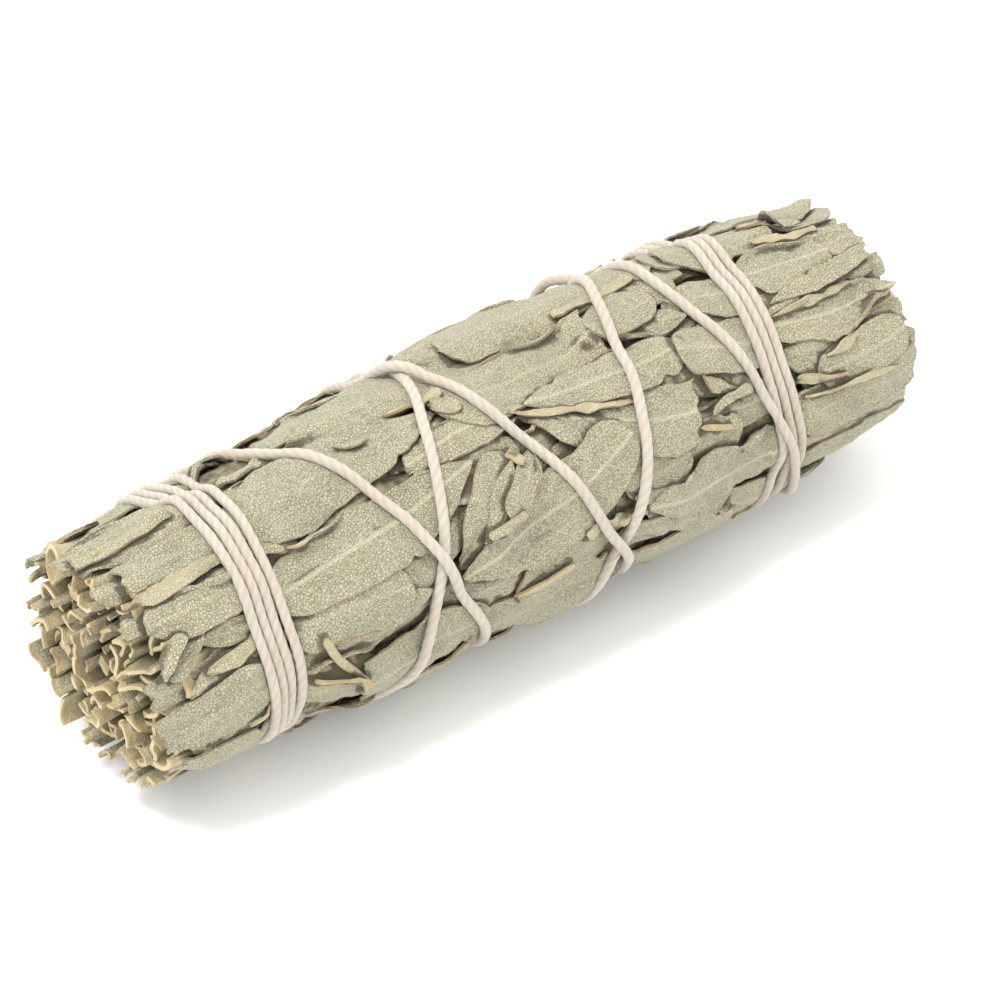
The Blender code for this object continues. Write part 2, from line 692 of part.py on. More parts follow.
def new_stem(name, middle, turn, rng):
    """A square stem with slightly hollow sides, a little longer than the leaves' mass."""
    y, z = middle
    h = STEM_WIDTH / 2
    rings = []
    start = STEM_START + rng.uniform(-0.5, 0.5)
    for s in (start, STEM_END + rng.uniform(-0.6, 0.6)):
        ring = []
        for k in range(8):
            radius = h * 1.3 if k % 2 else h * 0.9
            a = math.radians(45 * k)
            ring.append((s, y + radius * math.cos(a), z + radius * math.sin(a)))
        rings.append(ring)
    points, faces = loft(rings)
    return new_object(name, points, faces, stem_material)


# The twine
def smooth_route():
    """The route as points about half a millimetre apart, each (s, angle)."""
    scale = math.radians(1) * 15.0
    marks = np.array([(s, angle * scale) for angle, s in TWINE_ROUTE])
    padded = np.vstack([2 * marks[0] - marks[1], marks, 2 * marks[-1] - marks[-2]])
    route = []
    for k in range(1, len(padded) - 2):
        p0, p1, p2, p3 = padded[k - 1 : k + 3]
        t1 = math.sqrt(np.linalg.norm(p1 - p0))
        t2 = t1 + math.sqrt(np.linalg.norm(p2 - p1))
        t3 = t2 + math.sqrt(np.linalg.norm(p3 - p2))
        count = max(2, int(round(np.linalg.norm(p2 - p1) / 0.5)))
        for t in t1 + (t2 - t1) * np.arange(count) / count:
            a1 = p0 * (t1 - t) / t1 + p1 * t / t1
            a2 = p1 * (t2 - t) / (t2 - t1) + p2 * (t - t1) / (t2 - t1)
            a3 = p2 * (t3 - t) / (t3 - t2) + p3 * (t - t2) / (t3 - t2)
            b1 = a1 * (t2 - t) / t2 + a2 * t / t2
            b2 = a2 * (t3 - t) / (t3 - t1) + a3 * (t - t1) / (t3 - t1)
            route.append(b1 * (t2 - t) / (t2 - t1) + b2 * (t - t1) / (t2 - t1))
    route.append(marks[-1])
    route = np.array(route)
    return route[:, 0], route[:, 1] / scale


def twine_heights(s, angle):
    """How far out the middle of the twine runs at each point of its route, and its width."""
    scale = math.radians(1) * 15.0
    y = angle * scale
    steps = np.hypot(np.diff(s), np.diff(y))
    run = np.concatenate([[0], np.cumsum(steps)])
    from_band = np.min([np.abs(s - place) for place in (-37.0, 32.0)], axis=0)
    width = BAND_TWINE_WIDTH + (TWINE_WIDTH - BAND_TWINE_WIDTH) * np.clip(
        (from_band - 4.2) / 2.5, 0, 1
    )
    beneath = widened(widened(map_radius))
    rows = np.clip(np.round((s - MAP_START) / MAP_STEP).astype(int), 0, MAP_ROWS - 1)
    columns = np.round(angle / MAP_DEGREES).astype(int) % MAP_COLUMNS
    radii = beneath[rows, columns] + GAP + TWINE_HEIGHT / 2
    from_below = np.abs(angle % 360 - 180)
    floor = (AXIS_HEIGHT - TWINE_HEIGHT / 2) / np.cos(np.radians(np.minimum(from_below, 60)))
    radii = np.where(from_below < RESTS_WITHIN, np.maximum(radii, floor), radii)
    order = np.arange(len(s), dtype=float)
    order[angle > TUCKED_END] = -1
    around = y[None, :] - y[:, None]
    full = 360 * scale
    around -= full * np.round(around / full)
    apart = np.hypot(s[None, :] - s[:, None], around)
    far = np.abs(run[None, :] - run[:, None]) > 7.0
    close = (apart < (width[None, :] + width[:, None]) / 2 + 0.2) & far
    over = close & (order[:, None] > order[None, :])
    pairs = np.argwhere(over)
    slope = TWINE_CLIMB
    for _ in range(60):
        before = radii.copy()
        np.maximum.at(radii, pairs[:, 0], radii[pairs[:, 1]] + TWINE_HEIGHT + CROSSING_GAP)
        for k in range(1, len(radii)):
            radii[k] = max(radii[k], radii[k - 1] - slope * steps[k - 1])
        for k in reversed(range(len(radii) - 1)):
            radii[k] = max(radii[k], radii[k + 1] - slope * steps[k])
        if np.abs(radii - before).max() < 1e-3:
            break
    return radii, width, run, pairs


def along_chords(rows, s, angle, corners, run):
    """How far out the twine's straight runs lie at each point of its route."""
    places = [np.array(point(s[k], angle[k], r)) for k, r in zip(rows, corners)]
    out = np.zeros(len(s))
    for n in range(len(rows) - 1):
        inner = np.arange(rows[n], rows[n + 1] + 1)
        share = ((run[inner] - run[rows[n]]) / (run[rows[n + 1]] - run[rows[n]]))[:, None]
        chord = places[n] * (1 - share) + places[n + 1] * share
        out[inner] = np.hypot(chord[:, 1], chord[:, 2])
    return out


def drawn_tight(rows, s, angle, radii, run):
    """Radii for the twine's corners, lowered until its straight runs rest on what is below."""
    held = []
    for n in range(len(rows) - 1):
        a, b = rows[n], rows[n + 1]
        inner = np.arange(a, b + 1)
        share = (run[inner] - run[a]) / (run[b] - run[a])
        turn = math.radians(angle[b] - angle[a])
        sag = (1 - np.cos(turn / 2)) * 4 * share * (1 - share) * radii[inner]
        held.append((n, share, radii[inner] + sag))
    corners = radii[rows] + 1.5
    for _ in range(60):
        before = corners.copy()
        lowest = np.maximum(radii[rows], corners - 0.1)
        for n, share, needed in held:
            first = share < 0.98
            rest = corners[n + 1] * share[first]
            lowest[n] = max(lowest[n], ((needed[first] - rest) / (1 - share[first])).max())
            corners[n] = min(corners[n], lowest[n])
            second = share > 0.02
            rest = corners[n] * (1 - share[second])
            lowest[n + 1] = max(lowest[n + 1], ((needed[second] - rest) / share[second]).max())
        corners[-1] = min(corners[-1], lowest[-1])
        if np.abs(before - corners).max() < 1e-3:
            break
    return corners


def twine_solid():
    s, angle = smooth_route()
    radii, width, run, pairs = twine_heights(s, angle)
    rows = [0]
    for k in range(1, len(s) - 1):
        tight = run[k] < 20 or run[k] > run[-1] - 24
        if run[k] - run[rows[-1]] >= (1.6 if tight else TWINE_STEP):
            rows.append(k)
    rows.append(len(s) - 1)
    for _ in range(6):
        held = drawn_tight(rows, s, angle, radii, run)
        lying = along_chords(rows, s, angle, held, run)
        before = radii.copy()
        np.maximum.at(radii, pairs[:, 0], lying[pairs[:, 1]] + TWINE_HEIGHT + CROSSING_GAP)
        if np.abs(radii - before).max() < 0.01:
            break
    middles = np.array([point(s[k], angle[k], r) for k, r in zip(rows, held)])
    rings = []
    for n, k in enumerate(rows):
        ahead = middles[min(n + 1, len(rows) - 1)] - middles[max(n - 1, 0)]
        ahead /= np.linalg.norm(ahead)
        out = np.array(point(0, angle[k], 1.0))
        out -= ahead * (out @ ahead)
        out /= np.linalg.norm(out)
        aside = np.cross(ahead, out)
        ring = []
        for i in range(TWINE_SIDES):
            a = math.radians(360 * (i + 0.5) / TWINE_SIDES)
            x = width[k] / 2 * math.sin(a)
            z = TWINE_HEIGHT / 2 * math.cos(a) / math.cos(math.radians(30))
            corner = middles[n] + aside * x + out * z
            if corner[2] < FLAT_BELOW - AXIS_HEIGHT:
                corner[2] = -AXIS_HEIGHT
            ring.append(tuple(corner))
        rings.append(ring)
    return rings


# The bunch
for old in list(bpy.data.objects):
    bpy.data.objects.remove(old)

leaf_material = new_material("sage_leaf", (0.45, 0.42, 0.3), 0.9)
stem_material = new_material("sage_stem", (0.36, 0.29, 0.17), 0.8)
twine_material = new_material("cotton_twine", (0.76, 0.71, 0.62), 0.95)

cores = [sprig_core(index) for index in range(SPRIG_COUNT)]
all_s, all_angles = np.meshgrid(map_s, map_angle, indexing="ij")
full_radius = bundle_radius(all_s, all_angles)
bare = map_radius == 0
map_radius[bare] = core_radius(all_s, all_angles)[bare]
beyond = np.abs(all_s) > CORE_END
turned = (all_angles - FIRST_SEAM - SEAM_TWIST * all_s) % 360
nearest = np.floor(turned * SPRIG_COUNT / 360).astype(int) % SPRIG_COUNT
map_owner[beyond] = nearest[beyond]

rng = np.random.default_rng(SEED)
leaves = [[] for _ in range(SPRIG_COUNT)]


def lay_all(specs, limit=None):
    for spec in specs:
        laid = lay_leaf(spec, rng, limit)
        if laid is None:
            continue
        leaves[laid[0]].extend(laid[1])


def back_leaves(rng, count, width, start):
    """Leaves for the side that the viewer doesn't see, spread evenly with some play."""
    specs = []
    for k in range(count):
        column = k % 5
        line = k // 5
        s = -50.5 + 19.0 * column + rng.uniform(-2.5, 2.5)
        lines = max(1, count // 5)
        angle = start + (225.0 / lines) * (line + rng.uniform(0.2, 0.8))
        length = rng.uniform(14, 22)
        end = min(s + length, 51.5)
        start_s = max(s, -52.0)
        lean = rng.uniform(-14, 14)
        forms = "cr" if column == 0 else ("rc" if column == 4 else "rr")
        broad = width + rng.uniform(-0.8, 0.8)
        lift = rng.uniform(0.0, 0.3)
        specs.append((start_s, angle, end, angle + lean, broad, 0.3, forms, lift, lift))
    return specs


lay_all(back_leaves(rng, 20, 6.6, 113), 0.5)
lay_all(FRONT_LEAVES)
lay_all(back_leaves(rng, 15, 6.0, 120), 0.5)

for index, core in enumerate(cores):
    middle = seam_angle(index + 0.5, 0)
    _, y, z = point(0, middle, STEM_RADIUS)
    join(core, leaves[index] + end_strips(index, rng))
    cut_hole(core, (y, z), STEM_HOLE)
    keep_one_body(core)
    new_stem(f"sprig_{index + 1}_stem", (y, z), middle, rng)

heart = heart_core()
join(heart, heart_strips(rng))
cut_hole(heart, (0.0, 0.0), STEM_HOLE)
keep_one_body(heart)
new_stem("heart_sprig_stem", (0.0, 0.0), 0, rng)

rings = twine_solid()
twine_points, twine_faces = loft(rings)
twine = new_object("twine", twine_points, twine_faces, twine_material)
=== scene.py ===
import math

import bmesh
import bpy
import numpy as np
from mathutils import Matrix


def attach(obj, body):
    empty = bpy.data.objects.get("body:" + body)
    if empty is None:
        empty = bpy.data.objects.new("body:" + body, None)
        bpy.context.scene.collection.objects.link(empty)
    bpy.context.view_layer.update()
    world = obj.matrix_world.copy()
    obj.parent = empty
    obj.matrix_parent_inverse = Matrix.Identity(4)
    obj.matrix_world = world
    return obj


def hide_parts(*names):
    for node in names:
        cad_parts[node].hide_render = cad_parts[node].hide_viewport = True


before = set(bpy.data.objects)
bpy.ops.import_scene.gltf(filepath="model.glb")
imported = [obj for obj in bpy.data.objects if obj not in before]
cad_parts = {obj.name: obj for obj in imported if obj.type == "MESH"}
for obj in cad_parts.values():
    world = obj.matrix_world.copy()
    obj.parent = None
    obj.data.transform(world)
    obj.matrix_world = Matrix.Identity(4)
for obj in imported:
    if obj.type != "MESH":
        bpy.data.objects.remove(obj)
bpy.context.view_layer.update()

# The square stems
# Each sprig of white sage keeps one woody stem, nearly square with a groove down each side and a
# soft pith. It was cut together with the leaves at the near end, and the leaves grow from it.
# Sizes are in millimetres: X runs along the bunch, and an angle is in degrees round it, from its
# top towards its front (-Y).
MM = 0.001
AXIS_HEIGHT = 15.75
HALF_LENGTH = 50.8
SPRIGS = 5
HILL_CELLS = 32
FIRST_SEAM = -2.0
SEAM_TWIST = 0.06
STEM_HALF = 0.98
STEM_RADIUS = 8.35
STEM_FROM = -49.6
STEM_TO = 45.4
STEM_SIDES = 24
STEM_RINGS = 60
PITH = 0.5
PITH_DEPTH = 1.1
STEM_BEND = 0.3
STEM_TWIST = 0.5
WOOD = (0.36, 0.27, 0.15)
PALE_WOOD = (0.55, 0.46, 0.3)
DARK_WOOD = (0.24, 0.17, 0.09)


def placed(s, angle, radius):
    """Where points lie, in metres, from their place along and round the bunch."""
    turn = np.radians(angle)
    up = radius * np.cos(turn) + AXIS_HEIGHT
    return np.stack([s + 0 * turn, -radius * np.sin(turn), up], axis=-1) * MM


def seam(index, s):
    """The angle where one sprig ends and the next begins."""
    return FIRST_SEAM + index * 360.0 / SPRIGS + SEAM_TWIST * s


def hills(x, y, size, grain):
    """Smooth random hills about size across, between -1 and 1."""
    heights = np.random.default_rng(grain).uniform(-1, 1, (HILL_CELLS, HILL_CELLS))
    u = np.asarray(x, float) / size + 500.0
    v = np.asarray(y, float) / size + 500.0
    i = np.floor(u).astype(int)
    j = np.floor(v).astype(int)
    fu = u - i
    fv = v - j
    fu = fu * fu * (3 - 2 * fu)
    fv = fv * fv * (3 - 2 * fv)
    i, j = i % HILL_CELLS, j % HILL_CELLS
    k, m = (i + 1) % HILL_CELLS, (j + 1) % HILL_CELLS
    low = heights[i, j] * (1 - fu) + heights[k, j] * fu
    high = heights[i, m] * (1 - fu) + heights[k, m] * fu
    return low * (1 - fv) + high * fv


def new_finish(name):
    """A way to add nodes to a new material, and a way to set what it shows."""
    finish = bpy.data.materials.new(name)
    finish.use_nodes = True
    nodes = finish.node_tree.nodes

    def fill(node, inputs):
        for key, value in dict(inputs).items():
            if isinstance(value, bpy.types.NodeSocket):
                finish.node_tree.links.new(value, node.inputs[key])
            else:
                node.inputs[key].default_value = value
        return node

    def add(kind, inputs=(), **settings):
        node = nodes.new("ShaderNode" + kind)
        for key, value in settings.items():
            setattr(node, key, value)
        return fill(node, inputs)

    def show(inputs, bump=()):
        """Sets the surface, with a bump of (height, strength, distance in metres) if it has one."""
        if bump:
            rough = add("Bump", zip(("Height", "Strength", "Distance"), bump))
            inputs["Normal"] = rough.outputs[0]
        fill(nodes["Principled BSDF"], inputs)
        return finish

    return add, show


def colour_mix(add, share, first, second, blend="MIX"):
    """The colour between two colours or sockets, by a share."""
    first = first if isinstance(first, bpy.types.NodeSocket) else (*first, 1.0)
    second = second if isinstance(second, bpy.types.NodeSocket) else (*second, 1.0)
    node = add("Mix", {0: share, 6: first, 7: second}, data_type="RGBA", blend_type=blend)
    return node.outputs[2]


def stepped(add, value, low, high):
    """0 below low and 1 above high, smoothly between."""
    inputs = {"Value": value, "From Min": low, "From Max": high}
    return add("MapRange", inputs, interpolation_type="SMOOTHSTEP").outputs["Result"]


def noise(add, where, scale, detail):
    """Cloudy noise at each place."""
    return add("TexNoise", {"Vector": where, "Scale": scale, "Detail": detail}).outputs[0]


def streaks(add, where, scales, detail):
    """Noise drawn out along the bunch."""
    along = add("Mapping", {"Vector": where, "Scale": scales})
    return noise(add, along.outputs[0], 1.0, detail)


def set_out(name, data):
    """A new object in the scene."""
    thing = bpy.data.objects.new(name, data)
    bpy.context.scene.collection.objects.link(thing)
    return thing


def new_object(form, name, finish):
    """The shaped mesh as an object with its finish."""
    mesh = bpy.data.meshes.new(name)
    form.to_mesh(mesh)
    form.free()
    mesh.materials.append(finish)
    return set_out(name, mesh)


def fit(piece, nodes, sharp=50):
    """Smooths the piece between its sharp edges and puts it on the body in place of CAD nodes."""
    piece.data.shade_smooth()
    piece.data.set_sharp_from_angle(angle=math.radians(sharp))
    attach(piece, "root")
    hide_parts(*nodes)


def add_grid(form, columns, rows):
    """A flat sheet of faces, 2 m square until its points get their places."""
    bmesh.ops.create_grid(form, x_segments=columns, y_segments=rows, size=1.0)


def put_at(form, places):
    for vert, place in zip(form.verts, places):
        vert.co = place


def close_tube(form, merge=0.01):
    """Joins the two long edges of a rolled sheet and closes its ends."""
    bmesh.ops.remove_doubles(form, verts=form.verts, dist=merge * MM)
    bmesh.ops.holes_fill(form, edges=form.edges, sides=0)
    bmesh.ops.recalc_face_normals(form, faces=form.faces)


def stem_finish():
    add, show = new_finish("sage_stem_wood")
    where = add("TexCoord").outputs["Object"]
    fibres = streaks(add, where, (90.0, 1500.0, 1500.0), 4.0)
    blotch = noise(add, where, 260.0, 2.0)
    wood = colour_mix(add, fibres, WOOD, PALE_WOOD)
    wood = colour_mix(add, stepped(add, blotch, 0.45, 0.7), wood, DARK_WOOD)
    return show({"Base Color": wood, "Roughness": 0.8}, (fibres, 0.5, 0.0001))


def stem(name, y, z, grain, finish):
    """A tube with a rounded square section, closed at the far end and hollow at the near one."""
    form = bmesh.new()
    add_grid(form, STEM_SIDES, STEM_RINGS)
    flat = np.array([v.co for v in form.verts])
    turn = (flat[:, 0] + 1) * math.pi
    share = (flat[:, 1] + 1) / 2
    s = STEM_FROM + (STEM_TO - STEM_FROM) * share
    s = s + 0.25 * hills(turn, turn, 1.5, grain) * (share == 0)
    square = 1 / np.maximum(np.abs(np.cos(turn)), np.abs(np.sin(turn)))
    form_radius = STEM_HALF * (0.55 + 0.42 * square) * (1 + 0.04 * hills(s, turn * 2, 3.0, grain))
    form_radius *= 1 - 0.09 * np.cos(4 * turn)
    bend_y = STEM_BEND * hills(s, 0 * s, 22.0, grain + 1)
    bend_z = STEM_BEND * hills(s, 0 * s, 22.0, grain + 2)
    twist = turn + STEM_TWIST * hills(s, 0 * s, 40.0, grain + 3)
    across = y + bend_y + form_radius * np.cos(twist)
    up = z + bend_z + form_radius * np.sin(twist) + AXIS_HEIGHT
    put_at(form, np.stack([s, across, up], axis=1) * MM)
    close_tube(form)
    near_cap = min(form.faces, key=lambda face: face.calc_center_median().x)
    bmesh.ops.inset_region(form, faces=[near_cap], thickness=PITH * MM, depth=0.0)
    sunk = bmesh.ops.extrude_discrete_faces(form, faces=[near_cap])["faces"]
    bmesh.ops.translate(form, verts=sunk[0].verts, vec=(PITH_DEPTH * MM, 0, 0))
    fit(new_object(form, name, finish), [name.replace("_wood", "")])


wood_finish = stem_finish()
stem_places = []
for index in range(SPRIGS):
    turn = math.radians(seam(index + 0.5, 0))
    stem_places.append((-STEM_RADIUS * math.sin(turn), STEM_RADIUS * math.cos(turn)))
    stem(f"sprig_{index + 1}_stem_wood", *stem_places[-1], 300 + 10 * index, wood_finish)
stem_places.append((0.0, 0.0))
stem("heart_sprig_stem_wood", 0.0, 0.0, 390, wood_finish)

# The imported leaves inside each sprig
# The inner leaves of a sprig are crushed together round its stem into one dense, crumpled mass.
# Only shadowed bits of it show between the outer leaves. The bands draw the whole bunch in.
END_RADIUS = 13.8
SETTLED = 0.04
TIGHT_SPOT = (-38.0, -34.0)
TIGHT_REACH = (9.0, 34.0)
DRAWN_TIGHT = 0.85
BULGE = 2.36
UNDERSIDE = 14.1
BANDS = (-37.0, 31.8)
CINCH = 0.1
BAND_SPREAD = 3.4
PACKED_DEPTH = 1.4
PACKED_END = 46.6
PACKED_COLUMNS = 56
PACKED_ROWS = 110
HEART_RADIUS = 4.55
INNER_RADIUS = 5.25
DEEP_BROWN = (0.13, 0.1, 0.055)
DULL_GREEN = (0.3, 0.28, 0.18)
PACKED_DARK = (0.07, 0.055, 0.03)


def fullness(s, angle):
    """How far out the bunch reaches: fullest in the middle, settled under its weight, flat below."""
    from_below = np.abs((np.asarray(angle, float) % 360) - 180)
    pressed = np.clip((45 - from_below) / 25, 0, 1)
    radius = END_RADIUS + BULGE * (1 - (s / HALF_LENGTH) ** 2)
    radius = radius * (1 - SETTLED * np.cos(np.radians(2 * from_below)))
    for place in BANDS:
        radius = radius - CINCH * np.exp(-(((s - place) / BAND_SPREAD) ** 2)) * (1 - pressed)
    from_back = (np.asarray(angle, float) - TIGHT_SPOT[1] + 180) % 360 - 180
    along = (s - TIGHT_SPOT[0]) / TIGHT_REACH[0]
    nearness = np.exp(-(along**2) - (from_back / TIGHT_REACH[1]) ** 2)
    radius = radius - DRAWN_TIGHT * nearness
    flat = UNDERSIDE / np.maximum(np.cos(np.radians(from_below)), 0.5)
    return np.minimum(radius, flat)


def packed_finish():
    add, show = new_finish("crushed_sage")
    where = add("TexCoord").outputs["Object"]
    strands = streaks(add, where, (160.0, 900.0, 900.0), 5.0)
    crush = add("TexVoronoi", {"Vector": where, "Scale": 900.0}).outputs[0]
    brown = colour_mix(add, stepped(add, strands, 0.35, 0.65), DEEP_BROWN, DULL_GREEN)
    brown = colour_mix(add, stepped(add, crush, 0.0, 0.9), PACKED_DARK, brown)
    return show({"Base Color": brown, "Roughness": 0.95}, (strands, 0.8, 0.0003))


def packed_mass(name, node, section, finish):
    """A closed, crumpled body; section(around, s) gives (angle, radius) at shares of its girth."""
    form = bmesh.new()
    add_grid(form, PACKED_COLUMNS, PACKED_ROWS)
    flat = np.array([v.co for v in form.verts])
    s = flat[:, 1] * PACKED_END
    angle, radius = section((flat[:, 0] + 1) / 2, s)
    put_at(form, placed(s, angle, radius))
    close_tube(form)
    bmesh.ops.poke(form, faces=[face for face in form.faces if len(face.verts) > 4])
    fit(new_object(form, name, finish), [node])


def sprig_section(index):
    def section(around, s):
        corners = np.array([0.0, 0.62, 0.72, 0.9, 1.0])
        side = np.interp(around, corners, [0.02, 0.98, 0.96, 0.04, 0.02])
        first, last = seam(index, s), seam(index + 1, s)
        angle = first + (last - first) * side
        outer = fullness(s, angle) - PACKED_DEPTH
        crumple = 0.3 * hills(s, angle, 4.0, 40 + index) + 0.16 * hills(s, angle * 2, 1.3, 50)
        ends = np.clip((np.abs(s) - 44.6) / 2.0, 0, 1) * 1.2
        outer = outer + crumple - ends
        out = np.interp(around, corners, [1.0, 1.0, 0.0, 0.0, 1.0])
        return angle, INNER_RADIUS + (outer - INNER_RADIUS) * out

    return section


def heart_section(around, s):
    crumple = 0.2 * hills(s, around * 20, 3.0, 61) * (around < 1) * (around > 0)
    return around * 360, HEART_RADIUS - 0.2 + crumple


crushed = packed_finish()
for index in range(SPRIGS):
    mass = f"sprig_{index + 1}_packed_leaves"
    packed_mass(mass, f"sprig_{index + 1}_leaves", sprig_section(index), crushed)
packed_mass("heart_sprig_packed_leaves", "heart_sprig_leaves", heart_section, crushed)

# The leaves that lie over the sprigs
# White sage leaves are long, thick and felted: pale grey green, with a net of tiny bumps, a paler
# rib down the middle and a thin brown edge where they have dried. They lie over one another like
# shingles along the bunch, with cut, torn and curled ends, and the twine presses them down.
LEAF_THICK = 0.28
LEAF_GAP = 0.1
CLOSE_UP_WIDER = 1.06
CLOSE_UP_MESH = (0.34, 58, 0.6, 9)
FAR_MESH = (0.55, 36, 1.0, 5)
RIB_HEIGHT = 0.2
CREASE_DEPTH = 0.26
# The depth mark sets how much shade is painted on a leaf
MARKS = ("tone", "rim", "rib", "depth")
ROLL_CHANCE = 0.42
FULL_ENOUGH = 0.35
PRESSED_FLAT = 0.5
ARC = math.radians(15.5)
MAP_STEP = 0.25
MAP_FROM = -57.0
MAP_ROWS = 457
MAP_COLUMNS = 360
SAGE = (0.41, 0.387, 0.27)
SAGE_WARM = (0.465, 0.415, 0.278)
SAGE_GREEN = (0.345, 0.34, 0.228)
RIB_PALE = (0.57, 0.53, 0.375)
EDGE_TAN = (0.32, 0.23, 0.12)
DRY_TAN = (0.43, 0.335, 0.17)
CUT_TAN = (0.6, 0.49, 0.29)
# Painted shade: the near-black colour put into the seams under overlying leaf edges and onto leaves lying
# deep in the bunch
CREVICE_PAINTED_SHADE = (0.075, 0.052, 0.022)
# Painted shade for the low lines of the felt's net, between its bumps
FELT_GROOVE_SHADE = (0.56, 0.54, 0.44)
FELT_PALE = (0.68, 0.65, 0.5)
PEBBLE_SCALE = 3000.0
VEIN_SCALE = 980.0
VEIN_APART = 1.7
# Painted shade in the seams: its strength per mm that a leaf lies below the leaves round it, the least
# depth that gets any, and the most
SEAM_SHADE = 6.5
SEAM_LEAST = 0.15
SEAM_MOST = 2.1

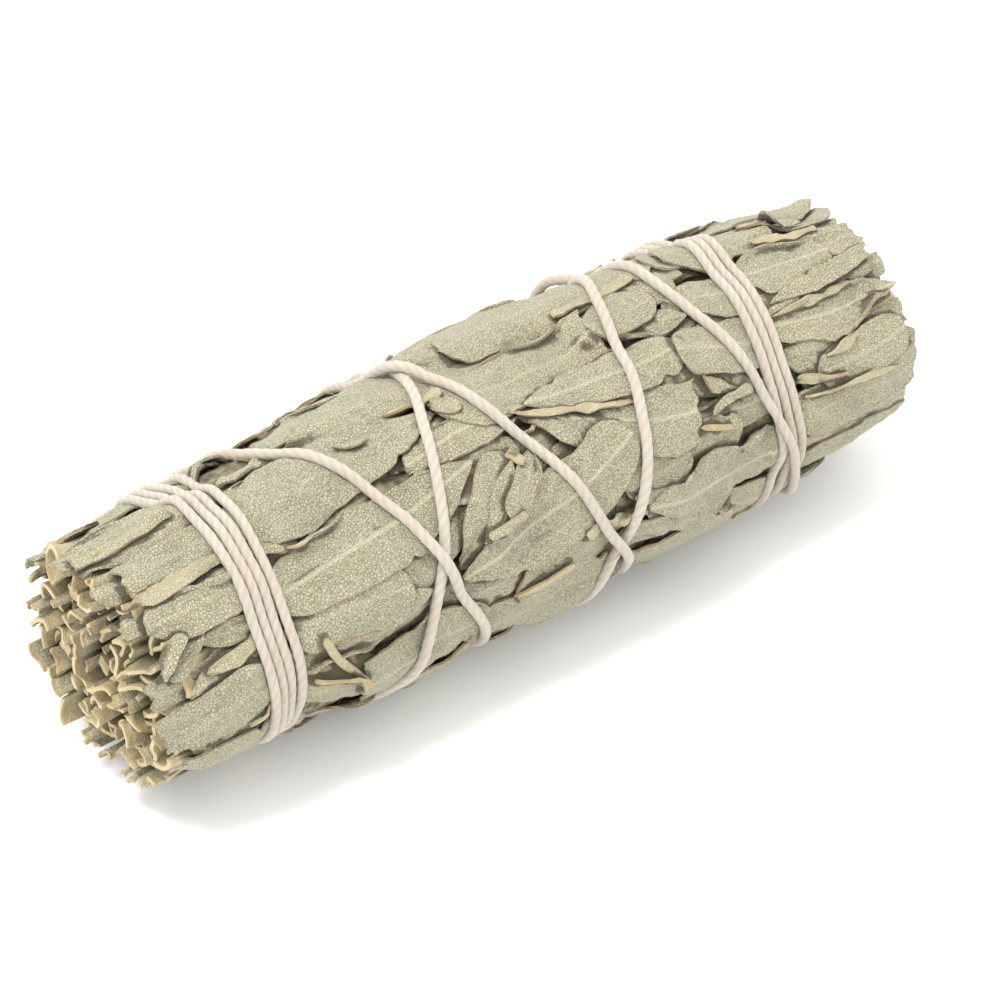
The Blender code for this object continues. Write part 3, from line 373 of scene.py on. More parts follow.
# Each leaf that shows from the front, from the deepest to the topmost: where it starts and ends
# (along the bunch, round it), its width, how far it bows sideways, the form of its two ends
# (p pointed, r rounded, c cut), how far its ends lift, its tone (from green to tan) and its rib.
FRONT_LEAVES = (
    (-50.5, -1, -40.5, 3, 2, 0, "cr", 0.2, 0, 0.7, 0),
    (-52.4, 14, -44.5, 15, 3.8, 0, "rc", 0.5, 0, 0.2, 0.3),
    (-51.6, 33, -38.5, 31, 3.6, 0, "cr", 0.3, 0, 0.4, 0.5),
    (-52.4, 68, -42, 62, 4.2, 0.6, "cp", 0.6, 0, 0.3, 0.4),
    (-48.6, 104, -38, 89, 4.6, 0.3, "cr", 0.2, 0, 0.3, 0.5),
    (-50.2, 113, -37, 106, 4.6, 0, "cr", 0.2, 0, 0.2, 0.5),
    (-35, 99, -25.5, 101, 4.4, 0, "rr", 0, 0, 0, 0.3),
    (-27.5, 68, -11.5, 52, 7.2, 0.4, "rp", 0, 0.2, -0.3, 0.4),
    (-14, 108, 6, 106, 6.4, 0, "rr", 0, 0, -0.1, 0.3),
    (-36.5, 92, -27, 89, 4, 0, "rr", 0, 0, 0.8, 0),
    (-37, 79, -18.5, 78, 4.2, 0, "rr", 0, 0, 0.4, 0),
    (-36.5, 10, -24, 8, 4, 0, "rr", 0, 0, -0.2, 0.2),
    (-24, 6, -14, 5, 3.4, 0.3, "rp", 0, 0.2, 0.3, 0),
    (-17.5, 84, 2, 81, 4.6, 0.3, "rr", 0, 0, -0.2, 0.4),
    (-8.5, 92, 6.5, 86, 4.2, 0, "rr", 0, 0, 0, 0.3),
    (-16.5, 40, -3, 38, 4.6, 0, "rr", 0, 0, -0.4, 0.2),
    (-3, 58, 12, 64, 5, 0, "rr", 0, 0, -0.3, 0.2),
    (12, 6, 26, 1, 4.6, 0, "rr", 0, 0, -0.2, 0.2),
    (16, 40, 29, 52, 5, 0, "rr", 0, 0, -0.2, 0.3),
    (36.5, 3, 50, 5, 4.4, 0, "rc", 0, 0.4, 0, 0.3),
    (32.5, 96, 50, 97, 3.8, 0, "rr", 0, 0.2, 0.3, 0.3),
    (32.5, 104, 50, 109, 4.6, 0, "rr", 0, 0.2, 0, 0.3),
    (43, 74, 51.5, 76, 4.6, 0, "rr", 0.2, 0.5, 0.1, 0.3),
    (35.5, 30, 49, 31, 4.8, 0, "rc", 0, 0.3, -0.1, 0.3),
    (-52, -19, -36, -14, 4.4, 0.3, "cr", 0.3, 0, 0, 0.5),
    (-48.5, 74, -38, 64, 3, 0.2, "pr", 0.4, 0, 0.3, 0.6),
    (-45.5, 55, -38, 56, 3, 0, "pr", 0.3, 0, 0.2, 0.3),
    (-50, 62, -44.5, 47, 2.4, 0.4, "rp", 0.6, 0.2, 0, 0),
    (-36, 63, -21.5, 67, 6.8, 0.2, "rr", 0, 0.3, -0.2, 0.4),
    (-28.3, 100, -12, 95, 7.2, 0.2, "cr", 0.4, 0, -0.1, 1.1),
    (-34, 2, -26.5, -3, 4, 0.3, "rr", 0.2, 0.5, 0.1, 0.2),
    (-24, -12, 4, -10, 7.6, 0.3, "pr", 0, 0.2, 0, 0.2),
    (-15.8, 27, 2, 25, 4.8, 0, "rp", 0.2, 0, 0.1, 1),
    (8, 77, 20, 100, 5.6, 0.4, "pr", 0, 0.3, -0.2, 0.4),
    (6, 96, 12.5, 95, 3.8, 0, "rr", 0.2, 0.3, 0, 0.3),
    (9, 83, 30, 88, 6.4, 0.3, "pr", 0, 0.2, -0.1, 1.1),
    (-1, 28, 18.5, 56, 7, 1.2, "pc", 0, 0.4, -0.1, 1.2),
    (-2, -18, 26, -18, 7.8, 0.2, "rr", 0, 0.2, 0.1, 0.3),
    (25, -12, 35, -10, 5, 0, "rr", 0.2, 0, 0, 0.3),
    (23, 12, 39.5, 22, 6.8, 0.4, "pr", 0, 0, 0, 0.5),
    (31, 80, 50.3, 84, 5.2, 0.4, "rc", 0, 0.6, 0.2, 0.4),
    (33, 52, 41, 60, 4.8, 0.3, "rc", 0, 0.5, 0.1, 0.3),
    (-51.5, -11, -36, -2, 4.8, 0.5, "cr", 0.3, 0, 0.1, 0.4),
    (-50, 40, -36, 40, 4.8, 0.2, "rr", 0.6, 0, 0, 0.5),
    (-38, 19, -9, 12, 8.8, -0.4, "rp", 0, 0.3, -0.1, 0.3),
    (-37, 50, -9, 37, 7.4, 0.6, "rp", 0, 0.2, -0.1, 0.8),
    (-9, 13, 13.5, 9, 7.4, 0.2, "rc", 0, 0.4, 0, 0.4),
    (0, 27, 20, 31, 5.4, 0.6, "pr", 0, 0.5, -0.1, 1.1),
    (12.5, 8, 22, 8, 5, 0, "rr", 0.2, 0.2, 0, 0.3),
    (19, 34, 34, 44, 6, 0.3, "rr", 0.4, 0, 0, 0.5),
    (27, -13, 41, -9, 7.4, 0, "rc", 0.1, 0.4, 0, 0.3),
    (38.5, -13, 51.4, -10, 6, 0.2, "pr", 0.2, 0.3, 0, 0.5),
    (34.5, -30, 51.4, -24, 6.8, 0.2, "pr", 0.2, 0.4, 0.1, 0.8),
    (36, 68, 49.5, 66, 4.8, 0.2, "rr", 0.2, 0.3, 0.3, 0.5),
    (31.5, 41, 51, 48, 5.4, 0.3, "rp", 0, 0.5, 0.2, 1.3),
    (39.5, 14, 50, 16, 4.8, 0, "rc", 0.3, 0.6, 0, 0.4),
    (-49.3, 16, -34, 17, 5.4, 0, "cr", 0.6, 0, -0.1, 0.4),
    (-51.6, 90, -39, 76, 5.6, 0.2, "cr", 0.4, 0, -0.1, 0.2),
    (-14.6, 73, -5.8, 38, 4.8, 0.3, "pr", 0, 0.3, -0.2, 0.3),
    (-14.8, 77, 9.3, 52, 7.4, 0.8, "pr", 0, 0.5, 0, 1.3),
    (33, 12, 44, 22, 6, 0.3, "rc", 0.2, 0.3, 0, 1.1),
    (-12, 65, -5.2, 43, 2.4, 0.2, "pp", 0, 0.2, 0, 0.3),
    (-8.2, 61, -1.6, 42, 3.4, 0.2, "rp", 0, 0.2, 0, 0.2),
    (-51.8, -7, -40, -4, 1.7, 0.2, "cr", 0.3, 0, 0.6, 0),
    (-50.8, 27, -38.5, 27, 1.8, 0.1, "cr", 0.3, 0, 0.9, 0),
    (34, 30, 49, 28, 2.2, 0.2, "pc", 0, 0.4, 0.5, 0),
)

# Thin strips, stalks and torn bits that lie loose in the seams between those leaves
LOOSE_BITS = (
    (-33.5, 72, -28.2, 97, 1, 0.5, "rr", 0.2, 0.1, 1.4, 0),
    (-34.5, 88, -28.5, 95, 1.3, 0.3, "rr", 0.1, 0.1, 1.7, 0),
    (-35.5, 31, -32.4, 36, 1.3, 0.2, "cp", 0, 0.3, 0.8, 0),
    (-32.6, 34, -29.4, 35, 0.9, 0.2, "pp", 0.1, 0.1, 1.5, 0),
    (-20.5, 3, -16.8, 7, 0.9, 0.3, "pp", 0.1, 0.2, 0.4, 0),
    (-13.4, 1, -7, 7, 1.3, 0.3, "pr", 0, 0.1, 1.2, 0),
    (-9.6, 12, -6.6, 17, 1.7, 0.2, "rr", 0.1, 0.1, 0.7, 0),
    (-4.7, 38, -4, 45, 1.3, 0, "cr", 0.1, 0.3, 1.3, 0),
    (-11.4, 65, -6.2, 62, 1.1, 0.3, "rr", 0.1, 0.2, 0.9, 0),
    (-2.4, 28, 12.4, 43, 1.1, 0.5, "pp", 0.1, 0.2, 1.1, 0),
    (-9, 92, -1, 90, 1.2, 0.3, "pr", 0.1, 0.2, 1.5, 0),
    (0.5, 79, 9, 83, 1.4, 0.2, "rr", 0.1, 0.2, 1.2, 0),
    (18, 64, 22.4, 69, 0.8, 0.1, "pc", 0.2, 0.3, 1.8, 0),
    (20.5, 47, 25, 57, 1.5, 0.6, "pp", 0.2, 0.2, 0.8, 0),
    (20.5, 62, 26.5, 58, 1.4, -0.5, "pr", 0.2, 0.2, 0.6, 0),
    (11, -6, 22, -5, 1.3, 0.2, "rr", 0.1, 0.1, 0.9, 0),
    (33.2, 37, 45, 38, 1, 0.1, "pp", 0, 0.2, 1.1, 0),
    (37.4, 61, 42.6, 58, 1.2, 0.3, "pp", 0.2, 0.3, 1.2, 0),
    (33.2, 66, 39.5, 72, 1.2, 0.2, "rp", 0.1, 0.3, 1, 0),
    (33.4, 73, 47, 79, 1.1, 0.2, "pp", 0, 0.2, 1.1, 0),
    (37.5, 4, 46, 6, 1.1, 0.1, "rr", 0.1, 0.2, 1.2, 0),
    (41, -9, 45.5, -1, 1.9, 0.2, "rp", 0.2, 0.3, 0.6, 0),
    (-47, 47, -50.5, 62, 1.9, 0.3, "rp", 0.4, 0.2, 0.7, 0),
    (-46, 66, -38.5, 62, 1.5, 0.3, "pr", 0.2, 0, 0.9, 0),
    (-42.5, 96, -38.5, 90, 1.5, 0.2, "pr", 0.2, 0, 1.3, 0),
    (-33, -10, -27, -13, 1.6, 0.4, "rr", 0.2, 0.2, 0.5, 0),
)

# A map of how far out the leaves laid so far reach
map_s = MAP_FROM + MAP_STEP * np.arange(MAP_ROWS)
map_angle = np.arange(MAP_COLUMNS) * 360.0 / MAP_COLUMNS
map_grid = np.meshgrid(map_s, map_angle, indexing="ij")
reached = fullness(*map_grid) - PACKED_DEPTH


def grown(values):
    """The greatest value in each cell of the map and the eight round it."""
    out = np.maximum(values, np.maximum(np.roll(values, 1, 1), np.roll(values, -1, 1)))
    base = out.copy()
    out[1:] = np.maximum(out[1:], base[:-1])
    out[:-1] = np.maximum(out[:-1], base[1:])
    return out


def read_map(values, s, angle):
    """The map's value at each place, between its cells."""
    u = np.clip((s - MAP_FROM) / MAP_STEP, 0, MAP_ROWS - 2)
    v = angle * MAP_COLUMNS / 360.0
    i = np.floor(u).astype(int)
    j = np.floor(v).astype(int)
    fu, fv = u - i, v - j
    j, k = j % MAP_COLUMNS, (j + 1) % MAP_COLUMNS
    near = values[i, j] * (1 - fv) + values[i, k] * fv
    far = values[i + 1, j] * (1 - fv) + values[i + 1, k] * fv
    return near * (1 - fu) + far * fu


def eased(values):
    """Each value drawn halfway towards the four round it."""
    out = (np.roll(values, 1, 1) + np.roll(values, -1, 1)) / 4 + values / 2
    out[1:-1] = (out[:-2] + out[2:]) / 4 + out[1:-1] / 2
    return out


def finer(values, times):
    """A sheet's values read between its points, so that no map cell under it is missed."""
    rows, columns = values.shape
    u = np.linspace(0, rows - 1, (rows - 1) * times + 1)
    v = np.linspace(0, columns - 1, (columns - 1) * times + 1)
    i = np.minimum(u.astype(int), rows - 2)
    j = np.minimum(v.astype(int), columns - 2)
    fu, fv = (u - i)[:, None], (v - j)[None, :]
    near = values[i][:, j] * (1 - fv) + values[i][:, j + 1] * fv
    far = values[i + 1][:, j] * (1 - fv) + values[i + 1][:, j + 1] * fv
    return near * (1 - fu) + far * fu


def write_map(s, angle, radius):
    s, angle, radius = (finer(values, 4) for values in (s, angle, radius))
    rows = np.clip(np.round((s - MAP_FROM) / MAP_STEP).astype(int), 0, MAP_ROWS - 1)
    columns = np.round(angle * MAP_COLUMNS / 360.0).astype(int) % MAP_COLUMNS
    np.maximum.at(reached, (rows, columns), radius)


def end_taper(form, distance, width, length):
    """How much of its width a leaf has at a distance from one of its ends."""
    if form == "c":
        return 0.93 + 0.07 * np.clip(distance / 3.0, 0, 1)
    reach = 0.48 * length if form == "p" else min(0.62 * width, 0.45 * length)
    share = np.clip(distance / reach, 0, 1)
    if form == "p":
        return 0.03 + 0.97 * np.sin(share * math.pi / 2) ** 0.85
    return 0.03 + 0.97 * np.sqrt(1 - (1 - share) ** 2.3)


def leaf_blade(leaf, rng, close_up):
    """The flat outline of one leaf, in rows along it: its places and its distances on the blade."""
    s0, a0, s1, a1, width, bow, ends = leaf[:7]
    start = np.array([s0, a0 * ARC])
    along = np.array([s1, a1 * ARC]) - start
    length = float(np.linalg.norm(along))
    along /= length
    across = np.array([-along[1], along[0]])
    width *= CLOSE_UP_WIDER if close_up else 1.0
    row_long, most_rows, column_wide, most_columns = CLOSE_UP_MESH if close_up else FAR_MESH
    rows = int(np.clip(length / row_long, 12, most_rows))
    columns = 2 * int(np.clip(width / column_wide, 2, most_columns))
    t = np.linspace(0, 1, rows + 1)
    share = (t - 0.1 * np.sin(2 * math.pi * t))[:, None]
    side = np.linspace(-1, 1, columns + 1)[None, :]
    side = side * (1.25 - 0.25 * side**2)
    down = share * length
    grain = int(rng.integers(1, 90000))
    full = width / 2 * end_taper(ends[0], down, width, length)
    full = full * end_taper(ends[1], length - down, width, length)
    full = full * (1 - 0.1 * (2 * share - 0.9) ** 2)
    waves = 0.17 * hills(down, np.sign(side) * 9.0, 4.5, grain)
    teeth = 0.13 * hills(down, np.sign(side) * 9.0, 0.85, grain + 1)
    half = full * (1 + waves) + teeth * np.minimum(full, 1.0)
    for _ in range(int(rng.integers(0, 3))):
        at = rng.uniform(0.1, 0.95) * length
        torn = rng.uniform(0.2, 0.9) * np.exp(-(((down - at) / rng.uniform(0.3, 0.9)) ** 2))
        half = half - torn * np.minimum(full / 2, 1.0) * (np.sign(side) == rng.choice((-1, 1)))
    aside = side * half
    near_end = np.exp(-down / 1.5) * (ends[0] == "c")
    near_end = near_end - np.exp((down - length) / 1.5) * (ends[1] == "c")
    ragged = 0.5 * hills(aside, aside, 1.1, grain + 2) + 0.35 * hills(aside, aside, 3.5, grain + 3)
    step = down + ragged * near_end
    wander = 0.35 * hills(down, 0 * down, 9.0, grain + 4)
    sideways = aside + bow * 4 * share * (1 - share) + wander
    s = start[0] + along[0] * step + across[0] * sideways
    angle = (start[1] + along[1] * step + across[1] * sideways) / ARC
    return s, angle, aside, down + 0 * aside, half + 0 * aside, length, grain, across / (1, ARC)


def laid_over(floor, turns):
    """A stiff sheet that rests on the floor beneath it and bridges what is narrow."""
    sheet = floor.copy()
    for _ in range(turns):
        padded = np.pad(sheet, 1, mode="edge")
        lengthwise = (padded[:-2, 1:-1] + padded[2:, 1:-1]) / 2
        crosswise = (padded[1:-1, :-2] + padded[1:-1, 2:]) / 2
        sheet = np.maximum(floor, 0.62 * lengthwise + 0.38 * crosswise)
    return sheet


def lay_leaf(leaf, rng, stiffness=26, limit=None, close_up=False):
    """Lays one leaf on those before it, and returns what its mesh needs."""
    width, lift0, lift1, tone, rib = leaf[4], *leaf[7:11]
    s, angle, aside, down, half, length, grain, sideways = leaf_blade(leaf, rng, close_up)
    floor = read_map(grown(reached), s, angle) + LEAF_THICK + LEAF_GAP
    radius = laid_over(floor, stiffness)
    share = down / length
    radius += lift0 * np.clip(1 - share / 0.3, 0, 1) ** 1.5
    radius += lift1 * np.clip(1 - (1 - share) / 0.3, 0, 1) ** 1.5
    across = aside / np.maximum(half, 0.3)
    stand = np.where(across > 0, rng.uniform(-0.1, 0.35), rng.uniform(-0.1, 0.35))
    stand = stand * (0.65 + 0.35 * hills(down, 0 * down, 5.0, grain + 8))
    radius += stand * np.abs(across) ** 3
    radius += rng.uniform(0.1, 0.6) * (1 - across**2) * np.clip(half / 2.5, 0, 1)
    radius += 0.28 * hills(down, aside, 4.4, grain + 5) + 0.12 * hills(down, aside, 1.5, grain + 6)
    crease = 1 - np.abs(hills(down / 4.5, aside, 1.25, grain + 9))
    radius -= CREASE_DEPTH * crease**5 * np.clip(width / 4, 0, 1)
    radius += RIB_HEIGHT * rib * np.exp(-((aside / 0.34) ** 2)) * np.clip(share * 6, 0, 1)
    radius = np.maximum(radius, floor - 0.1)
    if limit is not None and (radius - fullness(s, angle)).max() > limit:
        return None
    fade = np.clip(share * 5, 0, 1) * np.clip((1 - share) * 5, 0, 1)
    for side in (-1, 1):
        if rng.uniform(0, 1) < ROLL_CHANCE and width > 2.2 and lift1 < 0.55:
            turn = rng.uniform(0.26, 0.6)
            reach = rng.uniform(0.6, 1.5)
            rolled = fade * np.clip(0.55 + 0.75 * hills(down, 0 * down, 5.5, grain + 7), 0, 1)
            past = np.clip(aside * side - half + reach, 0, reach) * rolled
            back = side * (past - turn * np.sin(past / turn))
            radius += turn * (1 - np.cos(past / turn))
            s, angle = s - back * sideways[0], angle - back * sideways[1]
    if width < 2:
        twist = 1.4 * hills(down, 0 * down, 3.6, grain + 11)
        back = aside * (1 - np.cos(twist))
        radius += aside * np.sin(twist) + half * np.abs(np.sin(twist))
        s, angle = s - back * sideways[0], angle - back * sideways[1]
    write_map(s, angle, radius)
    rim = np.minimum(half - np.abs(aside), np.minimum(down, length - down))
    return {
        "s": s, "angle": angle, "radius": radius, "aside": aside, "down": down,
        "rim": np.clip(rim, 0, 2), "tone": np.full(s.shape, tone + rng.uniform(-0.15, 0.15)),
        "rib": np.full(s.shape, rib * rng.uniform(0.5, 1.1)),
    }


def scattered(rng, count, low_angle, high_angle, lengths, widths, spread):
    """Leaves at random places round a part of the bunch, most of them along it."""
    specs = []
    for _ in range(count):
        s = rng.uniform(-44, 44)
        angle = rng.uniform(low_angle, high_angle)
        length = rng.uniform(*lengths)
        turn = math.radians(rng.normal(0, spread))
        half_s = length / 2 * math.cos(turn)
        half_a = length / 2 * math.sin(turn) / ARC
        first, last = s - half_s, s + half_s
        ends = "".join(rng.choice(("p", "r", "r", "c"), 2))
        if first < -49.5:
            first, ends = -50.6 - rng.uniform(0, 1.2), "c" + ends[1]
        if last > 49.5:
            last, ends = 50.0 + rng.uniform(0, 1.4), ends[0] + "c"
        lifts = rng.uniform(0, 0.35, 2)
        specs.append(
            (first, angle - half_a, last, angle + half_a, rng.uniform(*widths), rng.uniform(-0.6, 0.6),
             ends, lifts[0], lifts[1], rng.uniform(-0.4, 0.4), rng.uniform(0.1, 0.9))
        )
    return specs


rng = np.random.default_rng(41)
back_rng = np.random.default_rng(43)
laid_leaves = []


def scatter(rng, count, low_angle, high_angle, lengths, widths, spread, limit):
    for leaf in scattered(rng, count, low_angle, high_angle, lengths, widths, spread):
        laid_leaves.append(lay_leaf(leaf, rng, limit=limit))


scatter(rng, 130, 0, 360, (9, 17), (4.0, 6.0), 9, None)
scatter(rng, 44, 112, 348, (16, 26), (5.4, 7.2), 6, 0.6)
for leaf in FRONT_LEAVES:
    laid_leaves.append(lay_leaf(leaf, rng, close_up=True))
for leaf in LOOSE_BITS:
    laid_leaves.append(lay_leaf(leaf, rng, stiffness=6, close_up=True))
scatter(rng, 30, 118, 338, (15, 24), (5.2, 7.0), 7, 0.7)
scatter(back_rng, 150, 156, 308, (15, 26), (5.6, 7.6), 7, 1.2)
scatter(back_rng, 170, 150, 312, (9, 15), (4.6, 6.4), 9, 0.95)
laid_leaves = [leaf for leaf in laid_leaves if leaf]


def pressed_flat(radius, full):
    """The whole pile drawn in where it stands out of the bunch, each layer still over the last."""
    over = np.maximum(radius - full - FULL_ENOUGH, 0)
    return radius - over * PRESSED_FLAT


for leaf in laid_leaves:
    leaf["radius"] = pressed_flat(leaf["radius"], fullness(leaf["s"], leaf["angle"]))
reached = pressed_flat(reached, fullness(*map_grid))

# Where the twine runs, as (angle counted on from turn to turn, place along the bunch)
TWINE_ROUTE = (
    (-139, 27.2), (-140, 29.3), (-140, 31.6), (-140, 34), (-138, 35.9), (-133.5, 36.6),
    (-128, 36.3), (-119, 35.6), (-95, 35.1), (-60, 34.8), (-20, 34.6), (0, 33.9), (20, 33.1),
    (40, 32.3), (60, 31.95), (80, 32.15), (100, 32.6), (180, 33.2), (260, 33.4), (340, 33.25),
    (360, 32.5), (380, 31.7), (400, 30.9), (420, 30.55), (440, 30.75), (460, 31.2), (540, 31.8),
    (620, 32), (700, 31.9), (720, 31.1), (740, 30.3), (760, 29.55), (780, 29.2), (800, 29.3),
    (820, 29.1), (860, 28), (920, 25), (980, 22), (1060, 18.3), (1080, 16), (1100, 14),
    (1120, 12.5), (1140, 10.4), (1160, 8.2), (1190, 4.2), (1240, 0.5), (1300, -2.5),
    (1360, -5), (1420, -7.5), (1440, -9.2), (1460, -12), (1480, -14.3), (1500, -16.3),
    (1520, -18.7), (1540, -20.8), (1560, -24), (1600, -27.4), (1640, -29.6), (1690, -31.4),
    (1740, -32.6), (1780, -33.3), (1810, -34.3), (1840, -35.3), (1860, -35.5), (1890, -35.5),
    (1940, -35.6), (2000, -35.4), (2070, -35.1), (2140, -34.9), (2170, -35.8), (2200, -36.65),
    (2220, -36.85), (2250, -36.85), (2310, -36.95), (2430, -36.7), (2500, -36.4),
    (2530, -37.15), (2560, -38), (2580, -38.2), (2610, -38.2), (2670, -38.3), (2790, -38.05),
    (2860, -38), (2880, -38.5), (2920, -39.35), (2940, -39.55), (2970, -39.5), (3010, -39.55),
    (3060, -39.65), (3088, -39.4), (3110, -38), (3130, -35.6), (3150, -32.6), (3180, -29.3),
    (3200, -27.4), (3220, -26), (3240, -24), (3260, -21.3), (3280, -19.6), (3300, -17.7),
    (3320, -15.7), (3350, -11.6), (3400, -10.3), (3460, -9.7), (3520, -9.2), (3580, -8.5),
    (3600, -6.3), (3620, -4.5), (3640, -1.8), (3660, 0.8), (3680, 3.2), (3710, 8),
    (3760, 12.5), (3820, 16), (3880, 19.2), (3940, 22.6), (3960, 23.3), (3980, 24.6),
    (4000, 26), (4020, 27.6), (4040, 29), (4060, 31), (4080, 33), (4100, 34.6),
    (4140, 34.8), (4170, 35.2), (4200, 36.6), (4211, 37.7), (4219, 37.5), (4223, 36.4),
    (4224, 34), (4224.5, 31.6), (4225, 29.3), (4225.5, 27.2),
)
TUCKED_END = 4220
TWINE_WIDE = 1.24
BAND_TWINE_WIDE = 1.12
TWINE_STEP = 0.36
BITE = 0.12
BITE_UNDER = 0.7
BITE_TOP = 0.45
TOP_ANGLE = -38
TWINE_STACK = 0.92
TWINE_TURN_AWAY = 7
TWINE_SLOPE = 0.42
BAND_SQUEEZE = 0.16
SQUEEZED = ((-37.5, 3.4), (32.0, 3.0))
TWINE_BANDS = (-37.0, 32.0)


def twine_line():
    """The twine's middle line: its places along and round the bunch, its radius and its width."""
    scale = math.radians(15.0)
    marks = np.array([(s, angle * scale) for angle, s in TWINE_ROUTE])
    padded = np.vstack([2 * marks[0] - marks[1], marks, 2 * marks[-1] - marks[-2]])
    route = []
    for k in range(1, len(padded) - 2):
        p0, p1, p2, p3 = padded[k - 1 : k + 3]
        t1 = math.sqrt(np.linalg.norm(p1 - p0))
        t2 = t1 + math.sqrt(np.linalg.norm(p2 - p1))
        t3 = t2 + math.sqrt(np.linalg.norm(p3 - p2))
        count = max(2, int(round(np.linalg.norm(p2 - p1) / TWINE_STEP)))
        for t in t1 + (t2 - t1) * np.arange(count) / count:
            a1 = p0 * (t1 - t) / t1 + p1 * t / t1
            a2 = p1 * (t2 - t) / (t2 - t1) + p2 * (t - t1) / (t2 - t1)
            a3 = p2 * (t3 - t) / (t3 - t2) + p3 * (t - t2) / (t3 - t2)
            b1 = a1 * (t2 - t) / t2 + a2 * t / t2
            b2 = a2 * (t3 - t) / (t3 - t1) + a3 * (t - t1) / (t3 - t1)
            route.append(b1 * (t2 - t) / (t2 - t1) + b2 * (t - t1) / (t2 - t1))
    route = np.array(route)
    s, y = route[:, 0], route[:, 1]
    for place, half_wide in SQUEEZED:
        s = s - BAND_SQUEEZE * (s - place) * np.exp(-(((s - place) / half_wide) ** 2))
    angle = y / scale
    steps = np.hypot(np.diff(s), np.diff(y))
    run = np.concatenate([[0], np.cumsum(steps)])
    from_band = np.min([np.abs(s - place) for place in TWINE_BANDS], axis=0)
    thinned = np.clip((from_band - 4.2) / 2.5, 0, 1)
    wide = BAND_TWINE_WIDE + (TWINE_WIDE - BAND_TWINE_WIDE) * thinned
    bed = reached
    for _ in range(60):
        bed = eased(bed)
    from_below = np.abs(angle % 360 - 180)
    under = np.clip((78 - from_below) / 30, 0, 1)
    from_top = np.abs((angle + 180 - TOP_ANGLE) % 360 - 180)
    radius = read_map(bed, s, angle) + wide / 2 - BITE - BITE_UNDER * under
    radius -= BITE_TOP * np.clip((28 - from_top) / 18, 0, 1)
    ground = (AXIS_HEIGHT - wide / 2 - 0.03) / np.cos(np.radians(np.minimum(from_below, 60)))
    order = np.arange(len(s), dtype=float)
    order[angle > TUCKED_END] = -1
    around = y[None, :] - y[:, None]
    full = 360 * scale
    around -= full * np.round(around / full)
    apart = np.hypot(s[None, :] - s[:, None], around)
    far = np.abs(run[None, :] - run[:, None]) > TWINE_TURN_AWAY
    close = (apart < (wide[None, :] + wide[:, None]) / 2 * 0.8) & far
    over = np.argwhere(close & (order[:, None] > order[None, :]))
    for _ in range(40):
        before = radius.copy()
        lift = (wide[over[:, 0]] + wide[over[:, 1]]) / 2 * TWINE_STACK
        np.maximum.at(radius, over[:, 0], radius[over[:, 1]] + lift)
        for k in range(1, len(radius)):
            radius[k] = max(radius[k], radius[k - 1] - TWINE_SLOPE * steps[k - 1])
        for k in reversed(range(len(radius) - 1)):
            radius[k] = max(radius[k], radius[k + 1] - TWINE_SLOPE * steps[k])
        if np.abs(radius - before).max() < 1e-3:
            break
    for _ in range(6):
        radius[1:-1] = (radius[:-2] + 2 * radius[1:-1] + radius[2:]) / 4
    radius = np.minimum(radius, ground)
    return s, angle, radius, wide


twine_s, twine_angle, twine_radius, twine_wide = twine_line()

# How far in the twine presses what lies under and beside it
PRESS_CELLS = 16
ceiling = np.full(reached.shape, 99.0)
for s, angle, radius, wide in zip(twine_s, twine_angle, twine_radius, twine_wide):
    row = int(round((s - MAP_FROM) / MAP_STEP))
    column = int(round(angle * MAP_COLUMNS / 360.0))
    rows = np.arange(row - PRESS_CELLS, row + PRESS_CELLS + 1)
    columns = np.arange(column - PRESS_CELLS, column + PRESS_CELLS + 1)
    ds = (MAP_FROM + rows * MAP_STEP - s)[:, None]
    da = ((columns * 360.0 / MAP_COLUMNS - angle) * ARC)[None, :]
    off = np.hypot(ds, da)
    half = wide / 2
    under = radius - np.sqrt(np.maximum(half**2 - off**2, 0)) * 0.92
    beside = radius - half * 0.25 + (off - half) * 1.1
    spot = np.where(off < half, under, beside)
    columns = columns % MAP_COLUMNS
    block = ceiling[rows[0] : rows[-1] + 1][:, columns]
    ceiling[rows[0] : rows[-1] + 1, columns] = np.minimum(block, spot)
pressed = np.maximum(reached - ceiling, 0)
for _ in range(3):
    pressed = np.maximum(pressed, eased(pressed))


def worked(add, operation, *values):
    """One operation on numbers or sockets."""
    return add("Math", dict(enumerate(values)), operation=operation).outputs[0]


def net(add, where, scale):
    """How far each place is from the lines of a net."""
    inputs = {"Vector": where, "Scale": scale}
    return add("TexVoronoi", inputs, feature="DISTANCE_TO_EDGE").outputs["Distance"]


